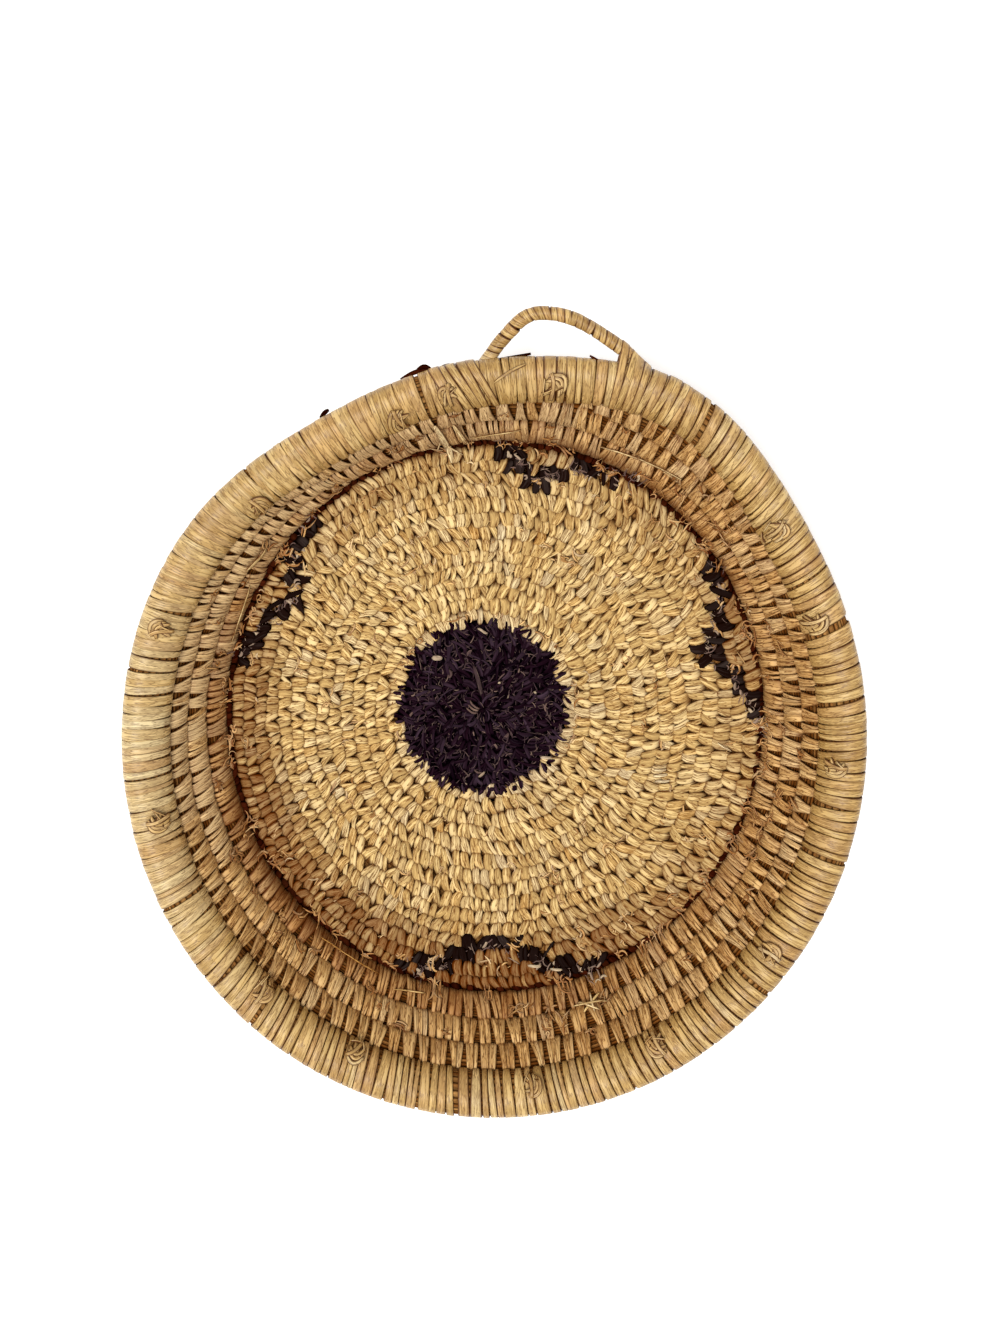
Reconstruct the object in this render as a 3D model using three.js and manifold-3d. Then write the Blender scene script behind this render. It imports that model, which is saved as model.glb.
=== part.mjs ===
// A shallow coiled basket bowl. A spiral of wrapped grass makes the flat base, dyed dark in the middle,
// and a thin dyed row runs round its edge. Three thicker rows climb as the flared wall, a bound hoop
// finishes the rim, and a wound cord, lashed to the rim, makes a loop to hang the bowl by.
// Millimetres, +Z up. The origin is where the coil starts, on the surface that the bowl stands on,
// and +Y points to the hanging loop. Directions are in degrees from +X towards +Y.
import * as THREE from "three";
import { mergeVertices } from "three/addons/utils/BufferGeometryUtils.js";
import Module from "manifold-3d";

// Base: an oval disc of coils, drawn a little off the start of the coil by the maker's hand
const BASE_WIDTH = 223; // across X, to the crease at the foot of the wall
const BASE_LENGTH = 235; // along Y
const BASE_DRIFT_X = 4.6; // middle of the base, from the start of the coil
const BASE_DRIFT_Y = -5.6;
const BASE_ROW = 5.4; // from one turn of the base coil to the next
const BASE_THICKNESS = 5.6;
const START_KNOT_WIDTH = 8;
const DYED_MIDDLE_WIDTH = 71; // across the dyed middle of the base
const EDGE_ROW = 3.4; // breadth of the dyed row in the crease
const COIL_TIP = 0.35; // share of a row at which a coil's pointed end is cut off

// Wall: thick rows on a slope. Each turn moves up a row in one stretch, where there is a row less
const WALL_ROWS = 3;
const WALL_THICKNESS = 9.4;
const WALL_FOOT_OUT = 1.5; // foot of the wall's middle line, outside the crease
const WALL_FOOT_HEIGHT = 2;
const WALL_STEP_AT = 64; // direction where the top row runs out and the others widen
const WALL_STEP_SPAN = 68; // degrees until a new lowest row has come in
const WALL_WEDGE_SPAN = 20; // degrees in which a row runs out or comes in

// Rim: an oval bundle inside a binding, on an outline that swells beside the loop
const RIM_WIDTH = 279; // across X, between the middles of the rim
const RIM_LENGTH = 293; // along Y
const RIM_DRIFT_X = 4.2;
const RIM_DRIFT_Y = -9.4;
const RIM_HEIGHT = 35.4; // middle of the rim above the ground
const RIM_BREADTH = 20.5; // long way across the rim
const RIM_DEPTH = 14.5; // short way across the rim
const RIM_LEAN = 32; // degrees that the long way rises outwards
const RIM_SWELL = 9.5;
const RIM_SWELL_AT = 61;
const RIM_SWELL_SPREAD = 13;
const RIM_DIP = 5.5;
const RIM_DIP_AT = 118;
const RIM_DIP_SPREAD = 14;
const BINDING_WALL = 1.2;
const BINDING_SLIT = 26; // degrees of the rim's section left open towards the wall
const BINDING_SLIT_AT = 205; // middle of that opening on the section, from its outward long way

// Hanging loop: a wound cord that leaves the rim, arches outwards and runs back into it
const LOOP_LEFT = 90.8; // direction of the left foot
const LOOP_APEX = 83;
const LOOP_RIGHT = 69; // direction where the right foot meets the rim
const LOOP_LEFT_RUN = 2; // degrees that the left foot runs on inside the rim
const LOOP_RIGHT_RUN = 7; // degrees that the right foot runs on inside the rim
const LOOP_REACH = 17; // from the rim's outermost line to the middle of the cord at its apex
const LOOP_RISE = 4; // the apex above the middle of the rim
const LOOP_CORE = 4.2; // diameter of the cord under its winding
const WINDING_WALL = 0.6;
const WINDING_STRIP = 2.6; // breadth of the strip wound round the cord
const WINDING_PITCH = 4.2; // from one turn of the strip to the next
const LASHING_WALL = 1.3;
const LASHING_LEFT_BREADTH = 11; // along the rim
const LASHING_RIGHT_BREADTH = 19;
const LASHING_RIGHT_AT = 66; // direction of the right lashing's middle
const LASHING_SLIT = 150; // degrees of the rim's section left open below the lashing
const COLLAR_LEFT = 7; // height of the lashing's collar on the cord, from the rim's outermost line
const COLLAR_RIGHT = 6;

// Strip ends: short ends of the sewing strips, turned over and tucked under on top of the rim
const STRIP_END_DIRECTIONS = [134, 107, 98, 80, 37, 21, -3, -35, -61, -83, -115, -134, -168, 160];
const STRIP_END_LEAN = 142; // where they lie on the rim's section, from the outside over the top
const STRIP_END_LENGTH = 8;
const STRIP_END_BREADTH = 2.8;
const STRIP_END_THICKNESS = 0.8;
const STRIP_END_RISE = 1.3;

// Clearances between pieces that touch
const SEAT = 0.3;
const TURN_GAP = 0.6; // between neighbouring turns of a coil

// Fineness of the facets
const COIL_STEPS = 24;
const COIL_SIDES = 6;
const EDGE_STEPS = 48;
const WALL_STEPS = 36;
const WALL_SIDES = 8;
const RIM_STEPS = 72;
const BINDING_ARC_STEPS = 12;
const CORD_STEPS = 30;
const CORD_FRAMES = 240;
const COLLAR_STEPS = 8;
const CORD_SIDES = 8;
const STRIP_END_STEPS = 6;

const TURN = 2 * Math.PI;
const { degToRad, radToDeg, clamp, smoothstep } = THREE.MathUtils;
const wasm = await Module();
wasm.setup();

// Finishes
const finish = (color, roughness) => new THREE.MeshStandardMaterial({ color, roughness, metalness: 0 });
const dyedPalm = () => finish(0x26151c, 0.75);
const maroonPalm = () => finish(0x5c2c2c, 0.75);
const basePalm = () => finish(0xc8a066, 0.7);
const wallPalm = () => finish(0xb28c58, 0.65);
const rimPalm = () => finish(0xc0a06a, 0.55);
const grass = () => finish(0x7a5c34, 0.9);

/** Closed body through rings of points: a loop of rings joins up, an open row of rings is capped. */
function sweep(rings, section = null) {
  const sides = rings[0].length;
  const rows = section ? rings.length - 1 : rings.length;
  const faces = [];
  for (let row = 0; row < rows; row += 1) {
    const here = row * sides;
    const next = ((row + 1) % rings.length) * sides;
    for (let side = 0; side < sides; side += 1) {
      const beside = (side + 1) % sides;
      faces.push([here + side, here + beside, next + beside], [here + side, next + beside, next + side]);
    }
  }
  if (section) {
    const end = rows * sides;
    for (const [a, b, c] of THREE.ShapeUtils.triangulateShape(section, [])) {
      faces.push([a, c, b], [end + a, end + b, end + c]);
    }
  }
  const points = rings.flat();
  const volume = faces.reduce((sum, [a, b, c]) => {
    return sum + points[a].dot(new THREE.Vector3().crossVectors(points[b], points[c]));
  }, 0);
  const outward = volume > 0 ? faces : faces.map(([a, b, c]) => [a, c, b]);
  const geometry = new THREE.BufferGeometry().setFromPoints(points);
  geometry.setIndex(outward.flat());
  return geometry;
}

/** Solid for cutting and joining. */
function solidOf(geometry) {
  const bare = geometry.clone();
  bare.deleteAttribute("normal");
  bare.deleteAttribute("uv");
  const merged = mergeVertices(bare);
  const vertProperties = new Float32Array(merged.attributes.position.array);
  const triVerts = new Uint32Array(merged.index.array);
  return new wasm.Manifold(new wasm.Mesh({ numProp: 3, vertProperties, triVerts }));
}

/** Geometry of a solid that was cut or joined. */
function geometryOf(solid) {
  const mesh = solid.getMesh();
  const geometry = new THREE.BufferGeometry();
  geometry.setAttribute("position", new THREE.BufferAttribute(mesh.vertProperties, 3));
  geometry.setIndex(new THREE.BufferAttribute(mesh.triVerts, 1));
  return geometry;
}

/** Points of an oval section, with the first point along its breadth. */
function ovalSection(halfBreadth, halfDepth, sides) {
  return Array.from({ length: sides }, (_, side) => {
    const angle = (side / sides) * TURN;
    return new THREE.Vector2(halfBreadth * Math.cos(angle), halfDepth * Math.sin(angle));
  });
}

/** Turn counts at which a coil has its rings: both ends and every whole step between them. */
function coilTurns(from, to, steps) {
  const turns = [from];
  const tooClose = 0.25 / steps;
  for (let step = Math.ceil(from * steps); step / steps < to - tooClose; step += 1) {
    if (step / steps > from + tooClose) {
      turns.push(step / steps);
    }
  }
  turns.push(to);
  return turns;
}

/** Least distance, on its points, between turns of a coil that lie beside each other. */
function leastGap(turns, rings) {
  const beside = 0.7;
  let least = Infinity;
  for (let late = 0; late < rings.length; late += 1) {
    for (let early = 0; early < late && turns[late] - turns[early] > beside; early += 1) {
      for (const a of rings[late]) {
        for (const b of rings[early]) {
          least = Math.min(least, a.distanceTo(b));
        }
      }
    }
  }
  return least;
}

/** Coil of one unbroken tube, which prints its least gap to itself. */
function coil(name, turns, rings, section) {
  const gap = leastGap(turns, rings);
  if (Number.isFinite(gap)) {
    console.log(`${name}: least gap to itself ${gap.toFixed(2)} mm`);
  }
  return sweep(rings, section);
}

/** Edge of the base in a direction, on plan. */
function baseEdge(angle) {
  const x = BASE_DRIFT_X + (BASE_WIDTH / 2) * Math.cos(angle);
  return new THREE.Vector2(x, BASE_DRIFT_Y + (BASE_LENGTH / 2) * Math.sin(angle));
}

/** Bell-shaped swell of the rim's outline round a direction. */
function bell(angle, at, spread) {
  const away = Math.atan2(Math.sin(angle - degToRad(at)), Math.cos(angle - degToRad(at)));
  return Math.exp(-0.5 * (radToDeg(away) / spread) ** 2);
}

/** Middle of the rim in a direction. */
function rimMiddle(angle) {
  const swell = RIM_SWELL * bell(angle, RIM_SWELL_AT, RIM_SWELL_SPREAD);
  const bulge = swell - RIM_DIP * bell(angle, RIM_DIP_AT, RIM_DIP_SPREAD);
  const x = RIM_DRIFT_X + (RIM_WIDTH / 2 + bulge) * Math.cos(angle);
  const y = RIM_DRIFT_Y + (RIM_LENGTH / 2 + bulge) * Math.sin(angle);
  return new THREE.Vector3(x, y, RIM_HEIGHT);
}

const outwards = (angle) => new THREE.Vector3(Math.cos(angle), Math.sin(angle), 0);
const upwards = new THREE.Vector3(0, 0, 1);

// Base coil: rows are shares of the base's outline, so they crowd on the side that the start lies towards
const baseRadius = (BASE_WIDTH + BASE_LENGTH) / 4;
const startRadius = START_KNOT_WIDTH / 2 + SEAT;
const fillRadius = baseRadius - EDGE_ROW;
const wholeStep = (turns) => Math.round(turns * COIL_STEPS) / COIL_STEPS;
const firstTurn = wholeStep(COIL_TIP);
const lastTurn = wholeStep((fillRadius - startRadius) / BASE_ROW + 1 - COIL_TIP);
const dyedTurns = wholeStep((DYED_MIDDLE_WIDTH / 2 - startRadius) / BASE_ROW + 0.5);

/** Ring of a flat-bottomed row of the base between two radii. */
function baseRing(angle, inner, outer) {
  const middle = (inner + outer) / 2;
  const half = (outer - inner - TURN_GAP) / 2;
  const rise = BASE_THICKNESS / 2;
  return ovalSection(half, rise / Math.sin(TURN / COIL_SIDES), COIL_SIDES).map(({ x, y }) => {
    const plan = baseEdge(angle).multiplyScalar((middle + x) / baseRadius);
    return new THREE.Vector3(plan.x, plan.y, rise + y);
  });
}

/** Stretch of the base's spiral, pointed where it starts at the knot and where it ends at the edge row. */
function baseCoil(name, from, to) {
  const turns = coilTurns(from, to, COIL_STEPS);
  const rings = turns.map((turn) => {
    const inner = clamp(startRadius + BASE_ROW * (turn - 1), startRadius, fillRadius);
    const outer = clamp(startRadius + BASE_ROW * turn, startRadius, fillRadius);
    return baseRing(turn * TURN, inner, outer);
  });
  return coil(name, turns, rings, ovalSection(1, 1, COIL_SIDES));
}

/** Knot in which the coil starts: a round button with a flat foot and a domed top. */
function startKnot() {
  const radius = START_KNOT_WIDTH / 2;
  const shoulder = BASE_THICKNESS / 2;
  const profile = [new THREE.Vector2(0, 0), new THREE.Vector2(radius, 0)];
  const domeSteps = 4;
  for (let step = 0; step <= domeSteps; step += 1) {
    const angle = (step / domeSteps) * (TURN / 4);
    const across = step === domeSteps ? 0 : radius * Math.cos(angle);
    profile.push(new THREE.Vector2(across, shoulder + shoulder * Math.sin(angle)));
  }
  return new THREE.LatheGeometry(profile, COIL_STEPS).rotateX(TURN / 4);
}

/** Dyed row in the crease: one turn, whose ends meet. */
function edgeCoil() {
  const endGap = TURN_GAP / (TURN * baseRadius);
  const turns = coilTurns(0, 1 - endGap, EDGE_STEPS);
  const rings = turns.map((turn) => baseRing(turn * TURN, fillRadius, baseRadius));
  return coil("edge_coil", turns, rings, ovalSection(1, 1, COIL_SIDES));
}

/** Half of the rim's extent along a line that rises by an angle. */
function rimReach(rise) {
  const turned = rise - degToRad(RIM_LEAN);
  return Math.hypot((RIM_BREADTH / 2) * Math.cos(turned), (RIM_DEPTH / 2) * Math.sin(turned));
}

/** Slope of the wall in a direction: its foot, the ways up and in from it, and the breadth of a row. */
function wallSlope(angle) {
  const edge = baseEdge(angle);
  const foot = new THREE.Vector3(edge.x, edge.y, WALL_FOOT_HEIGHT);
  foot.addScaledVector(outwards(angle), WALL_FOOT_OUT);
  const up = rimMiddle(angle).sub(foot);
  const length = up.length();
  up.normalize();
  const rise = Math.asin(up.z);
  const out = new THREE.Vector3(up.x, up.y, 0).normalize();
  const inward = upwards.clone().multiplyScalar(Math.cos(rise)).addScaledVector(out, -Math.sin(rise));
  const row = (length - rimReach(rise) - SEAT + TURN_GAP / 2) / WALL_ROWS;
  return { foot, up, inward, row };
}

/** Height, in rows, of the joint above a row of the wall, which moves up by a row in the wall's step. */
function jointHeight(row, turn) {
  if (row < 0 || row >= WALL_ROWS) {
    return clamp(row + 1, 0, WALL_ROWS);
  }
  const degrees = (turn - Math.floor(turn)) * 360;
  const runsOut = smoothstep(degrees, 0, WALL_WEDGE_SPAN);
  const comesIn = smoothstep(degrees, WALL_STEP_SPAN - WALL_WEDGE_SPAN, WALL_STEP_SPAN);
  const share = WALL_ROWS > 1 ? row / (WALL_ROWS - 1) : 0;
  return row + runsOut * share + comesIn * (1 - share);
}

/** Lower and upper joint of the wall's coil after some turns, in rows. */
function wallJoints(turn) {
  const row = Math.floor(turn);
  return { lower: jointHeight(row - 1, turn), upper: jointHeight(row, turn) };
}

/** Wall: one coil of level rows, which comes in as a wedge under them and runs out as a wedge on top. */
function wallCoil() {
  const inAll = coilTurns(0, WALL_ROWS + WALL_WEDGE_SPAN / 360, WALL_STEPS);
  const turns = inAll.filter((turn) => wallJoints(turn).upper - wallJoints(turn).lower > COIL_TIP);
  const rings = turns.map((turn) => {
    const { foot, up, inward, row } = wallSlope(degToRad(WALL_STEP_AT) + turn * TURN);
    const { lower, upper } = wallJoints(turn);
    const half = ((upper - lower) * row - TURN_GAP) / 2;
    const depth = (WALL_THICKNESS / 2) * Math.sqrt(upper - lower);
    return ovalSection(half, depth, WALL_SIDES).map(({ x, y }) => {
      return foot.clone().addScaledVector(up, ((lower + upper) / 2) * row + x).addScaledVector(inward, y);
    });
  });
  return coil("wall_coil", turns, rings, ovalSection(1, 1, WALL_SIDES));
}

/** Point on the rim's section, grown all round, with the section's own angle from its outward long way. */
function rimPoint(angle, grow) {
  const point = new THREE.Vector2(
    (RIM_BREADTH / 2 + grow) * Math.cos(angle),
    (RIM_DEPTH / 2 + grow) * Math.sin(angle),
  );
  return point.rotateAround(new THREE.Vector2(), degToRad(RIM_LEAN));
}

/** Angles round the rim's section from one edge of a slit to the other. */
function wrapAngles(slit) {
  const from = degToRad(BINDING_SLIT_AT + slit / 2);
  const step = (TURN - degToRad(slit)) / BINDING_ARC_STEPS;
  return Array.from({ length: BINDING_ARC_STEPS + 1 }, (_, index) => from + index * step);
}

/** Closed section of the rim, grown all round. */
function rimSection(grow) {
  return wrapAngles(BINDING_SLIT).map((angle) => rimPoint(angle, grow));
}

/** Section of a wrap round the rim, between two growths, open by a slit towards the wall. */
function wrapSection(inner, outer, slit) {
  const angles = wrapAngles(slit);
  const outside = angles.map((angle) => rimPoint(angle, outer));
  const inside = angles.map((angle) => rimPoint(angle, inner)).reverse();
  return [...outside, ...inside];
}

/** Section of the rim placed in a direction. */
function rimRing(angle, section) {
  return section.map(({ x, y }) => {
    return rimMiddle(angle).addScaledVector(outwards(angle), x).addScaledVector(upwards, y);
  });
}

/** Hoop with a section of the rim, all the way round. */
function rimHoop(section) {
  const rings = Array.from({ length: RIM_STEPS }, (_, step) => rimRing((step / RIM_STEPS) * TURN, section));
  return sweep(rings);
}

/** Stretch of the rim with a section, round a direction. */
function rimStretch(section, direction, breadth) {
  const step = TURN / RIM_STEPS;
  const half = breadth / 2 / rimMiddle(degToRad(direction)).setZ(0).length();
  const from = degToRad(direction) - half;
  const to = degToRad(direction) + half;
  const whole = [];
  for (let index = Math.ceil(from / step); index * step < to; index += 1) {
    whole.push(index * step);
  }
  const rings = [from, ...whole, to].map((angle) => rimRing(angle, section));
  return sweep(rings, section);
}

// Hanging loop
const rimLimb = rimReach(0);

/** Point outside the rim, some way beyond its outermost line and above its middle. */
function besideRim(direction, beyond, rise) {
  const angle = degToRad(direction);
  return rimMiddle(angle).addScaledVector(outwards(angle), rimLimb + beyond).addScaledVector(upwards, rise);
}

/** Waypoint of the cord between two directions, at shares of the way, of its reach and of its rise. */
function waypoint(from, to, way, reach, rise) {
  return besideRim(from + (to - from) * way, LOOP_REACH * reach, LOOP_RISE * rise);
}

const inRim = -RIM_BREADTH / 3;
const loopPath = new THREE.CatmullRomCurve3([
  besideRim(LOOP_LEFT + LOOP_LEFT_RUN, inRim, 0),
  besideRim(LOOP_LEFT, 0, 0),
  waypoint(LOOP_LEFT, LOOP_APEX, 0.33, 0.5, 0.4),
  waypoint(LOOP_LEFT, LOOP_APEX, 0.75, 0.96, 1),
  waypoint(LOOP_APEX, LOOP_RIGHT, 0.25, 0.88, 1),
  waypoint(LOOP_APEX, LOOP_RIGHT, 0.75, 0.34, 0.4),
  besideRim(LOOP_RIGHT, 0, 0),
  besideRim(LOOP_RIGHT - LOOP_RIGHT_RUN, inRim, 0),
]);
const loopLength = loopPath.getLength();
const loopFrames = loopPath.computeFrenetFrames(CORD_FRAMES);

/** Point at a distance from the middle of the cord, along it, and out from it at an angle. */
function onCord(share, along, out, angle) {
  const frame = Math.round(share * CORD_FRAMES);
  const point = loopPath.getPointAt(share).addScaledVector(loopFrames.tangents[frame], along);
  point.addScaledVector(loopFrames.normals[frame], out * Math.cos(angle));
  return point.addScaledVector(loopFrames.binormals[frame], out * Math.sin(angle));
}

/** Round body along a stretch of the cord. */
function cordTube(radius, from, to, steps) {
  const rings = Array.from({ length: steps + 1 }, (_, step) => {
    const share = from + (step / steps) * (to - from);
    const angles = Array.from({ length: CORD_SIDES }, (__, side) => (side / CORD_SIDES) * TURN);
    return angles.map((angle) => onCord(share, 0, radius, angle));
  });
  return sweep(rings, ovalSection(1, 1, CORD_SIDES));
}

/** Share of the loop's length at which the cord has come out to a distance beyond the rim. */
function shareOutside(beyond, fromLeft) {
  const steps = 400;
  for (let step = 0; step <= steps; step += 1) {
    const share = fromLeft ? step / steps : 1 - step / steps;
    const point = loopPath.getPointAt(share);
    const plan = new THREE.Vector2(point.x - RIM_DRIFT_X, point.y - RIM_DRIFT_Y);
    const angle = Math.atan2(plan.y / RIM_LENGTH, plan.x / RIM_WIDTH);
    const limb = rimMiddle(angle).addScaledVector(outwards(angle), rimLimb);
    if (plan.length() - Math.hypot(limb.x - RIM_DRIFT_X, limb.y - RIM_DRIFT_Y) > beyond) {
      return share;
    }
  }
  return 0.5;
}

const windingFrom = shareOutside(COLLAR_LEFT, true);
const windingTo = shareOutside(COLLAR_RIGHT, false);

/** Strip wound round the cord between the two collars. */
function loopWinding() {
  const stretch = (windingTo - windingFrom) * loopLength - WINDING_STRIP - 4 * SEAT;
  const turns = coilTurns(0, stretch / WINDING_PITCH, CORD_SIDES);
  const inner = LOOP_CORE / 2 + SEAT;
  const outer = inner + WINDING_WALL;
  const half = WINDING_STRIP / 2;
  const rings = turns.map((turn) => {
    const share = windingFrom + (turn * WINDING_PITCH + half + 2 * SEAT) / loopLength;
    const corner = (along, out) => onCord(share, along, out, turn * TURN);
    return [corner(-half, inner), corner(half, inner), corner(half, outer), corner(-half, outer)];
  });
  return coil("loop_winding", turns, rings, ovalSection(1, 1, 4));
}

const rimSpace = solidOf(rimHoop(rimSection(SEAT)));
const cordSpace = solidOf(cordTube(LOOP_CORE / 2 + SEAT, 0, 1, CORD_STEPS));

/** Lashing that binds a foot of the loop to the rim: a strap round the rim with a collar round the cord. */
function lashing(direction, breadth, collarFrom, collarTo) {
  const strapSection = wrapSection(SEAT, SEAT + LASHING_WALL, LASHING_SLIT);
  const strap = solidOf(rimStretch(strapSection, direction, breadth));
  const collarRadius = LOOP_CORE / 2 + SEAT + LASHING_WALL;
  const collar = solidOf(cordTube(collarRadius, collarFrom, collarTo, COLLAR_STEPS));
  return geometryOf(strap.add(collar).subtract(cordSpace).subtract(rimSpace));
}

/** Cord under the winding, cut to sit on the rim's binding. */
function loopCore() {
  return geometryOf(solidOf(cordTube(LOOP_CORE / 2, 0, 1, CORD_STEPS)).subtract(rimSpace));
}

/** Turned-over end of a sewing strip: a low arch of strip along the rim. */
function stripEnd(direction) {
  const lean = degToRad(STRIP_END_LEAN - RIM_LEAN);
  const slope = new THREE.Vector2(Math.cos(lean) / RIM_BREADTH, Math.sin(lean) / RIM_DEPTH).normalize();
  const normal = slope.rotateAround(new THREE.Vector2(), degToRad(RIM_LEAN));
  const across = new THREE.Vector2(-normal.y, normal.x);
  const rings = Array.from({ length: STRIP_END_STEPS + 1 }, (_, step) => {
    const along = (step / STRIP_END_STEPS) * 2 - 1;
    const radius = rimMiddle(degToRad(direction)).setZ(0).length();
    const angle = degToRad(direction) + (along * STRIP_END_LENGTH) / 2 / radius;
    const lift = SEAT + STRIP_END_RISE * (1 - along * along);
    const corner = (side, height) => {
      const flat = rimPoint(lean, 0).addScaledVector(normal, lift + height);
      return flat.addScaledVector(across, (side * STRIP_END_BREADTH) / 2);
    };
    const under = [corner(-1, 0), corner(1, 0)];
    const over = [corner(1, STRIP_END_THICKNESS), corner(-1, STRIP_END_THICKNESS)];
    return rimRing(angle, [...under, ...over]);
  });
  return sweep(rings, ovalSection(1, 1, 4));
}

const basket = new THREE.Group();

/** Named piece of the basket. */
function addPiece(name, geometry, material) {
  const mesh = new THREE.Mesh(geometry, material);
  mesh.name = name;
  basket.add(mesh);
}

const joinGap = SEAT / (TURN * (DYED_MIDDLE_WIDTH / 2));
addPiece("start_knot", startKnot(), dyedPalm());
addPiece("centre_coil", baseCoil("centre_coil", firstTurn, dyedTurns), dyedPalm());
addPiece("base_coil", baseCoil("base_coil", dyedTurns + joinGap, lastTurn), basePalm());
addPiece("edge_coil", edgeCoil(), maroonPalm());
addPiece("wall_coil", wallCoil(), wallPalm());
addPiece("rim_core", rimHoop(rimSection(-BINDING_WALL - SEAT)), grass());
addPiece("rim_binding", rimHoop(wrapSection(-BINDING_WALL, 0, BINDING_SLIT)), rimPalm());
addPiece("loop_core", loopCore(), grass());
addPiece("loop_winding", loopWinding(), rimPalm());
addPiece("loop_lashing_left", lashing(LOOP_LEFT, LASHING_LEFT_BREADTH, 0, windingFrom), rimPalm());
addPiece("loop_lashing_right", lashing(LASHING_RIGHT_AT, LASHING_RIGHT_BREADTH, windingTo, 1), rimPalm());
STRIP_END_DIRECTIONS.forEach((direction, index) => {
  addPiece(`strip_end_${String(index + 1).padStart(2, "0")}`, stripEnd(direction), rimPalm());
});

export default basket;
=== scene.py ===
"""Looks of the coiled basket bowl: its stitches, wraps, grass cores and loose fibres, laid on the frame.

Fields hold sizes in millimetres and directions in degrees, where a note gives no other unit. Functions take
directions in radians.
"""

import logging
import math
from collections.abc import Callable, Sequence
from dataclasses import dataclass, field
from enum import Enum
from functools import partial

import bpy
import numpy as np
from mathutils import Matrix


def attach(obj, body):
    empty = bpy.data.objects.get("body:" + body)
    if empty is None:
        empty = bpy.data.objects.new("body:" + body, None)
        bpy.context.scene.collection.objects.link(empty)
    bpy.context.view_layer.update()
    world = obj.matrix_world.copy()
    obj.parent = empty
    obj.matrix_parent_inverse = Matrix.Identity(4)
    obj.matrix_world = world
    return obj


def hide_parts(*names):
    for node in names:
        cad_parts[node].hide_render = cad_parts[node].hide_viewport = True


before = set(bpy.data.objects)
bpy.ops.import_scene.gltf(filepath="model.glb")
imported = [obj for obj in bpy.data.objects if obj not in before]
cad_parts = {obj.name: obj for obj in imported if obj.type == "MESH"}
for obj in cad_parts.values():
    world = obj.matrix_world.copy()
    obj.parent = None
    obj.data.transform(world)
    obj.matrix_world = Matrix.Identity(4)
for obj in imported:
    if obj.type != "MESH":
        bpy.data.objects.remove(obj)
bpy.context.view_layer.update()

LOG = logging.getLogger("basket")
MM = 0.001
TURN = 2 * math.pi
BODY = "root"
# Lowest height of a strip above the ground, in mm
GROUND = 0.05
# What each vertex of a strip carries: its place across the strip in mm and in half breadths, its place along
# it in mm, how far it is tucked under, which sets painted shade there, its shade and its stain
VALUES = ("across", "flank", "along", "dive", "tone", "stain")

Chance = np.random.Generator
Range = tuple[float, float]
# Height, number in a turn and phase for each unit of shift, of each wave
Waves = tuple[tuple[float, float, float], ...]
Array = np.ndarray
Place = Callable[[Array, Array, Array], Array]


class Slot(Enum):
    """Material slots of the record."""

    DYED = "dyed_palm"
    MAROON = "maroon_palm"
    BASE = "base_palm"
    WALL = "wall_palm"
    RIM = "rim_palm"
    GRASS = "grass"


class Crown(Enum):
    """How a strip's outer face is rounded: from plump, like a grain, to flat, like a tape."""

    PLUMP = 0.9
    SOFT = 0.6
    FLAT = 0.3


def linear(code: str) -> tuple[float, float, float, float]:
    """Colour for a shader.

    Args:
        code: sRGB colour as six hexadecimal digits.

    Returns:
        Linear red, green, blue and alpha.
    """
    parts = [int(code[i : i + 2], 16) / 255 for i in (0, 2, 4)]
    r, g, b = (c / 12.92 if c <= 0.04045 else ((c + 0.055) / 1.055) ** 2.4 for c in parts)
    return r, g, b, 1.0


def add_node(tree: bpy.types.NodeTree, kind: str, sockets: dict, **settings: object) -> bpy.types.Node:
    """Shader node with its settings and sockets.

    Args:
        tree: Node tree that takes the node.
        kind: Node type without its prefix.
        sockets: Values, or outputs to link, by socket name or index.
        settings: Properties of the node.

    Returns:
        The new node.
    """
    node = tree.nodes.new("ShaderNode" + kind)
    for name, value in settings.items():
        setattr(node, name, value)
    for socket, value in sockets.items():
        if isinstance(value, bpy.types.NodeSocket):
            tree.links.new(value, node.inputs[socket])
        else:
            node.inputs[socket].default_value = value
    return node


def smooth(value: Array | float, low: float, high: float) -> Array:
    """Smooth step from 0 at the low value to 1 at the high one."""
    t = np.clip((np.asarray(value, float) - low) / (high - low), 0, 1)
    return t * t * (3 - 2 * t)


def ripple(angle: Array, shift: Array | float, waves: Waves) -> Array:
    """Unevenness of hand work as a sum of waves, moved on by a shift such as a radius."""
    return sum(size * np.sin(number * angle + phase * shift) for size, number, phase in waves)


def stacked(*parts: Array | float) -> Array:
    """Coordinates put together, with the coordinates last."""
    return np.stack(np.broadcast_arrays(*parts), -1)


def column(value: Array | float) -> Array:
    """Values of strips as a column, which spreads over the strips' vertices."""
    return np.reshape(value, (-1, 1))


def shades(rng: Chance, count: int, spread: float = 0.22) -> Array:
    """Shades of strips from 0 to 1, mostly near the middle one."""
    return np.clip(rng.normal(0.5, spread, count), 0, 1)


@dataclass(frozen=True)
class Side:
    """Side of the bowl on which a change of colour shows."""

    way: float  # Direction of its middle
    begins: float  # Cosine to that direction from which the change shows
    full: float  # Cosine from which it shows in full
    amount: float = 1.0  # The full change

    def share(self, angle: Array) -> Array:
        """Change in some directions, from 0 to its full amount."""
        return self.amount * smooth(np.cos(angle - math.radians(self.way)), self.begins, self.full)


@dataclass(frozen=True)
class Fade:
    """Change of colour from row to row of the base."""

    amount: float  # The full change
    none: float  # Radius up to which, or from which, there is none
    full: float  # Radius at which it is full

    def at(self, radius: Array) -> Array:
        """Change at some radii, from 0 to its full amount."""
        return self.amount * smooth(radius, self.none, self.full)


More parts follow.
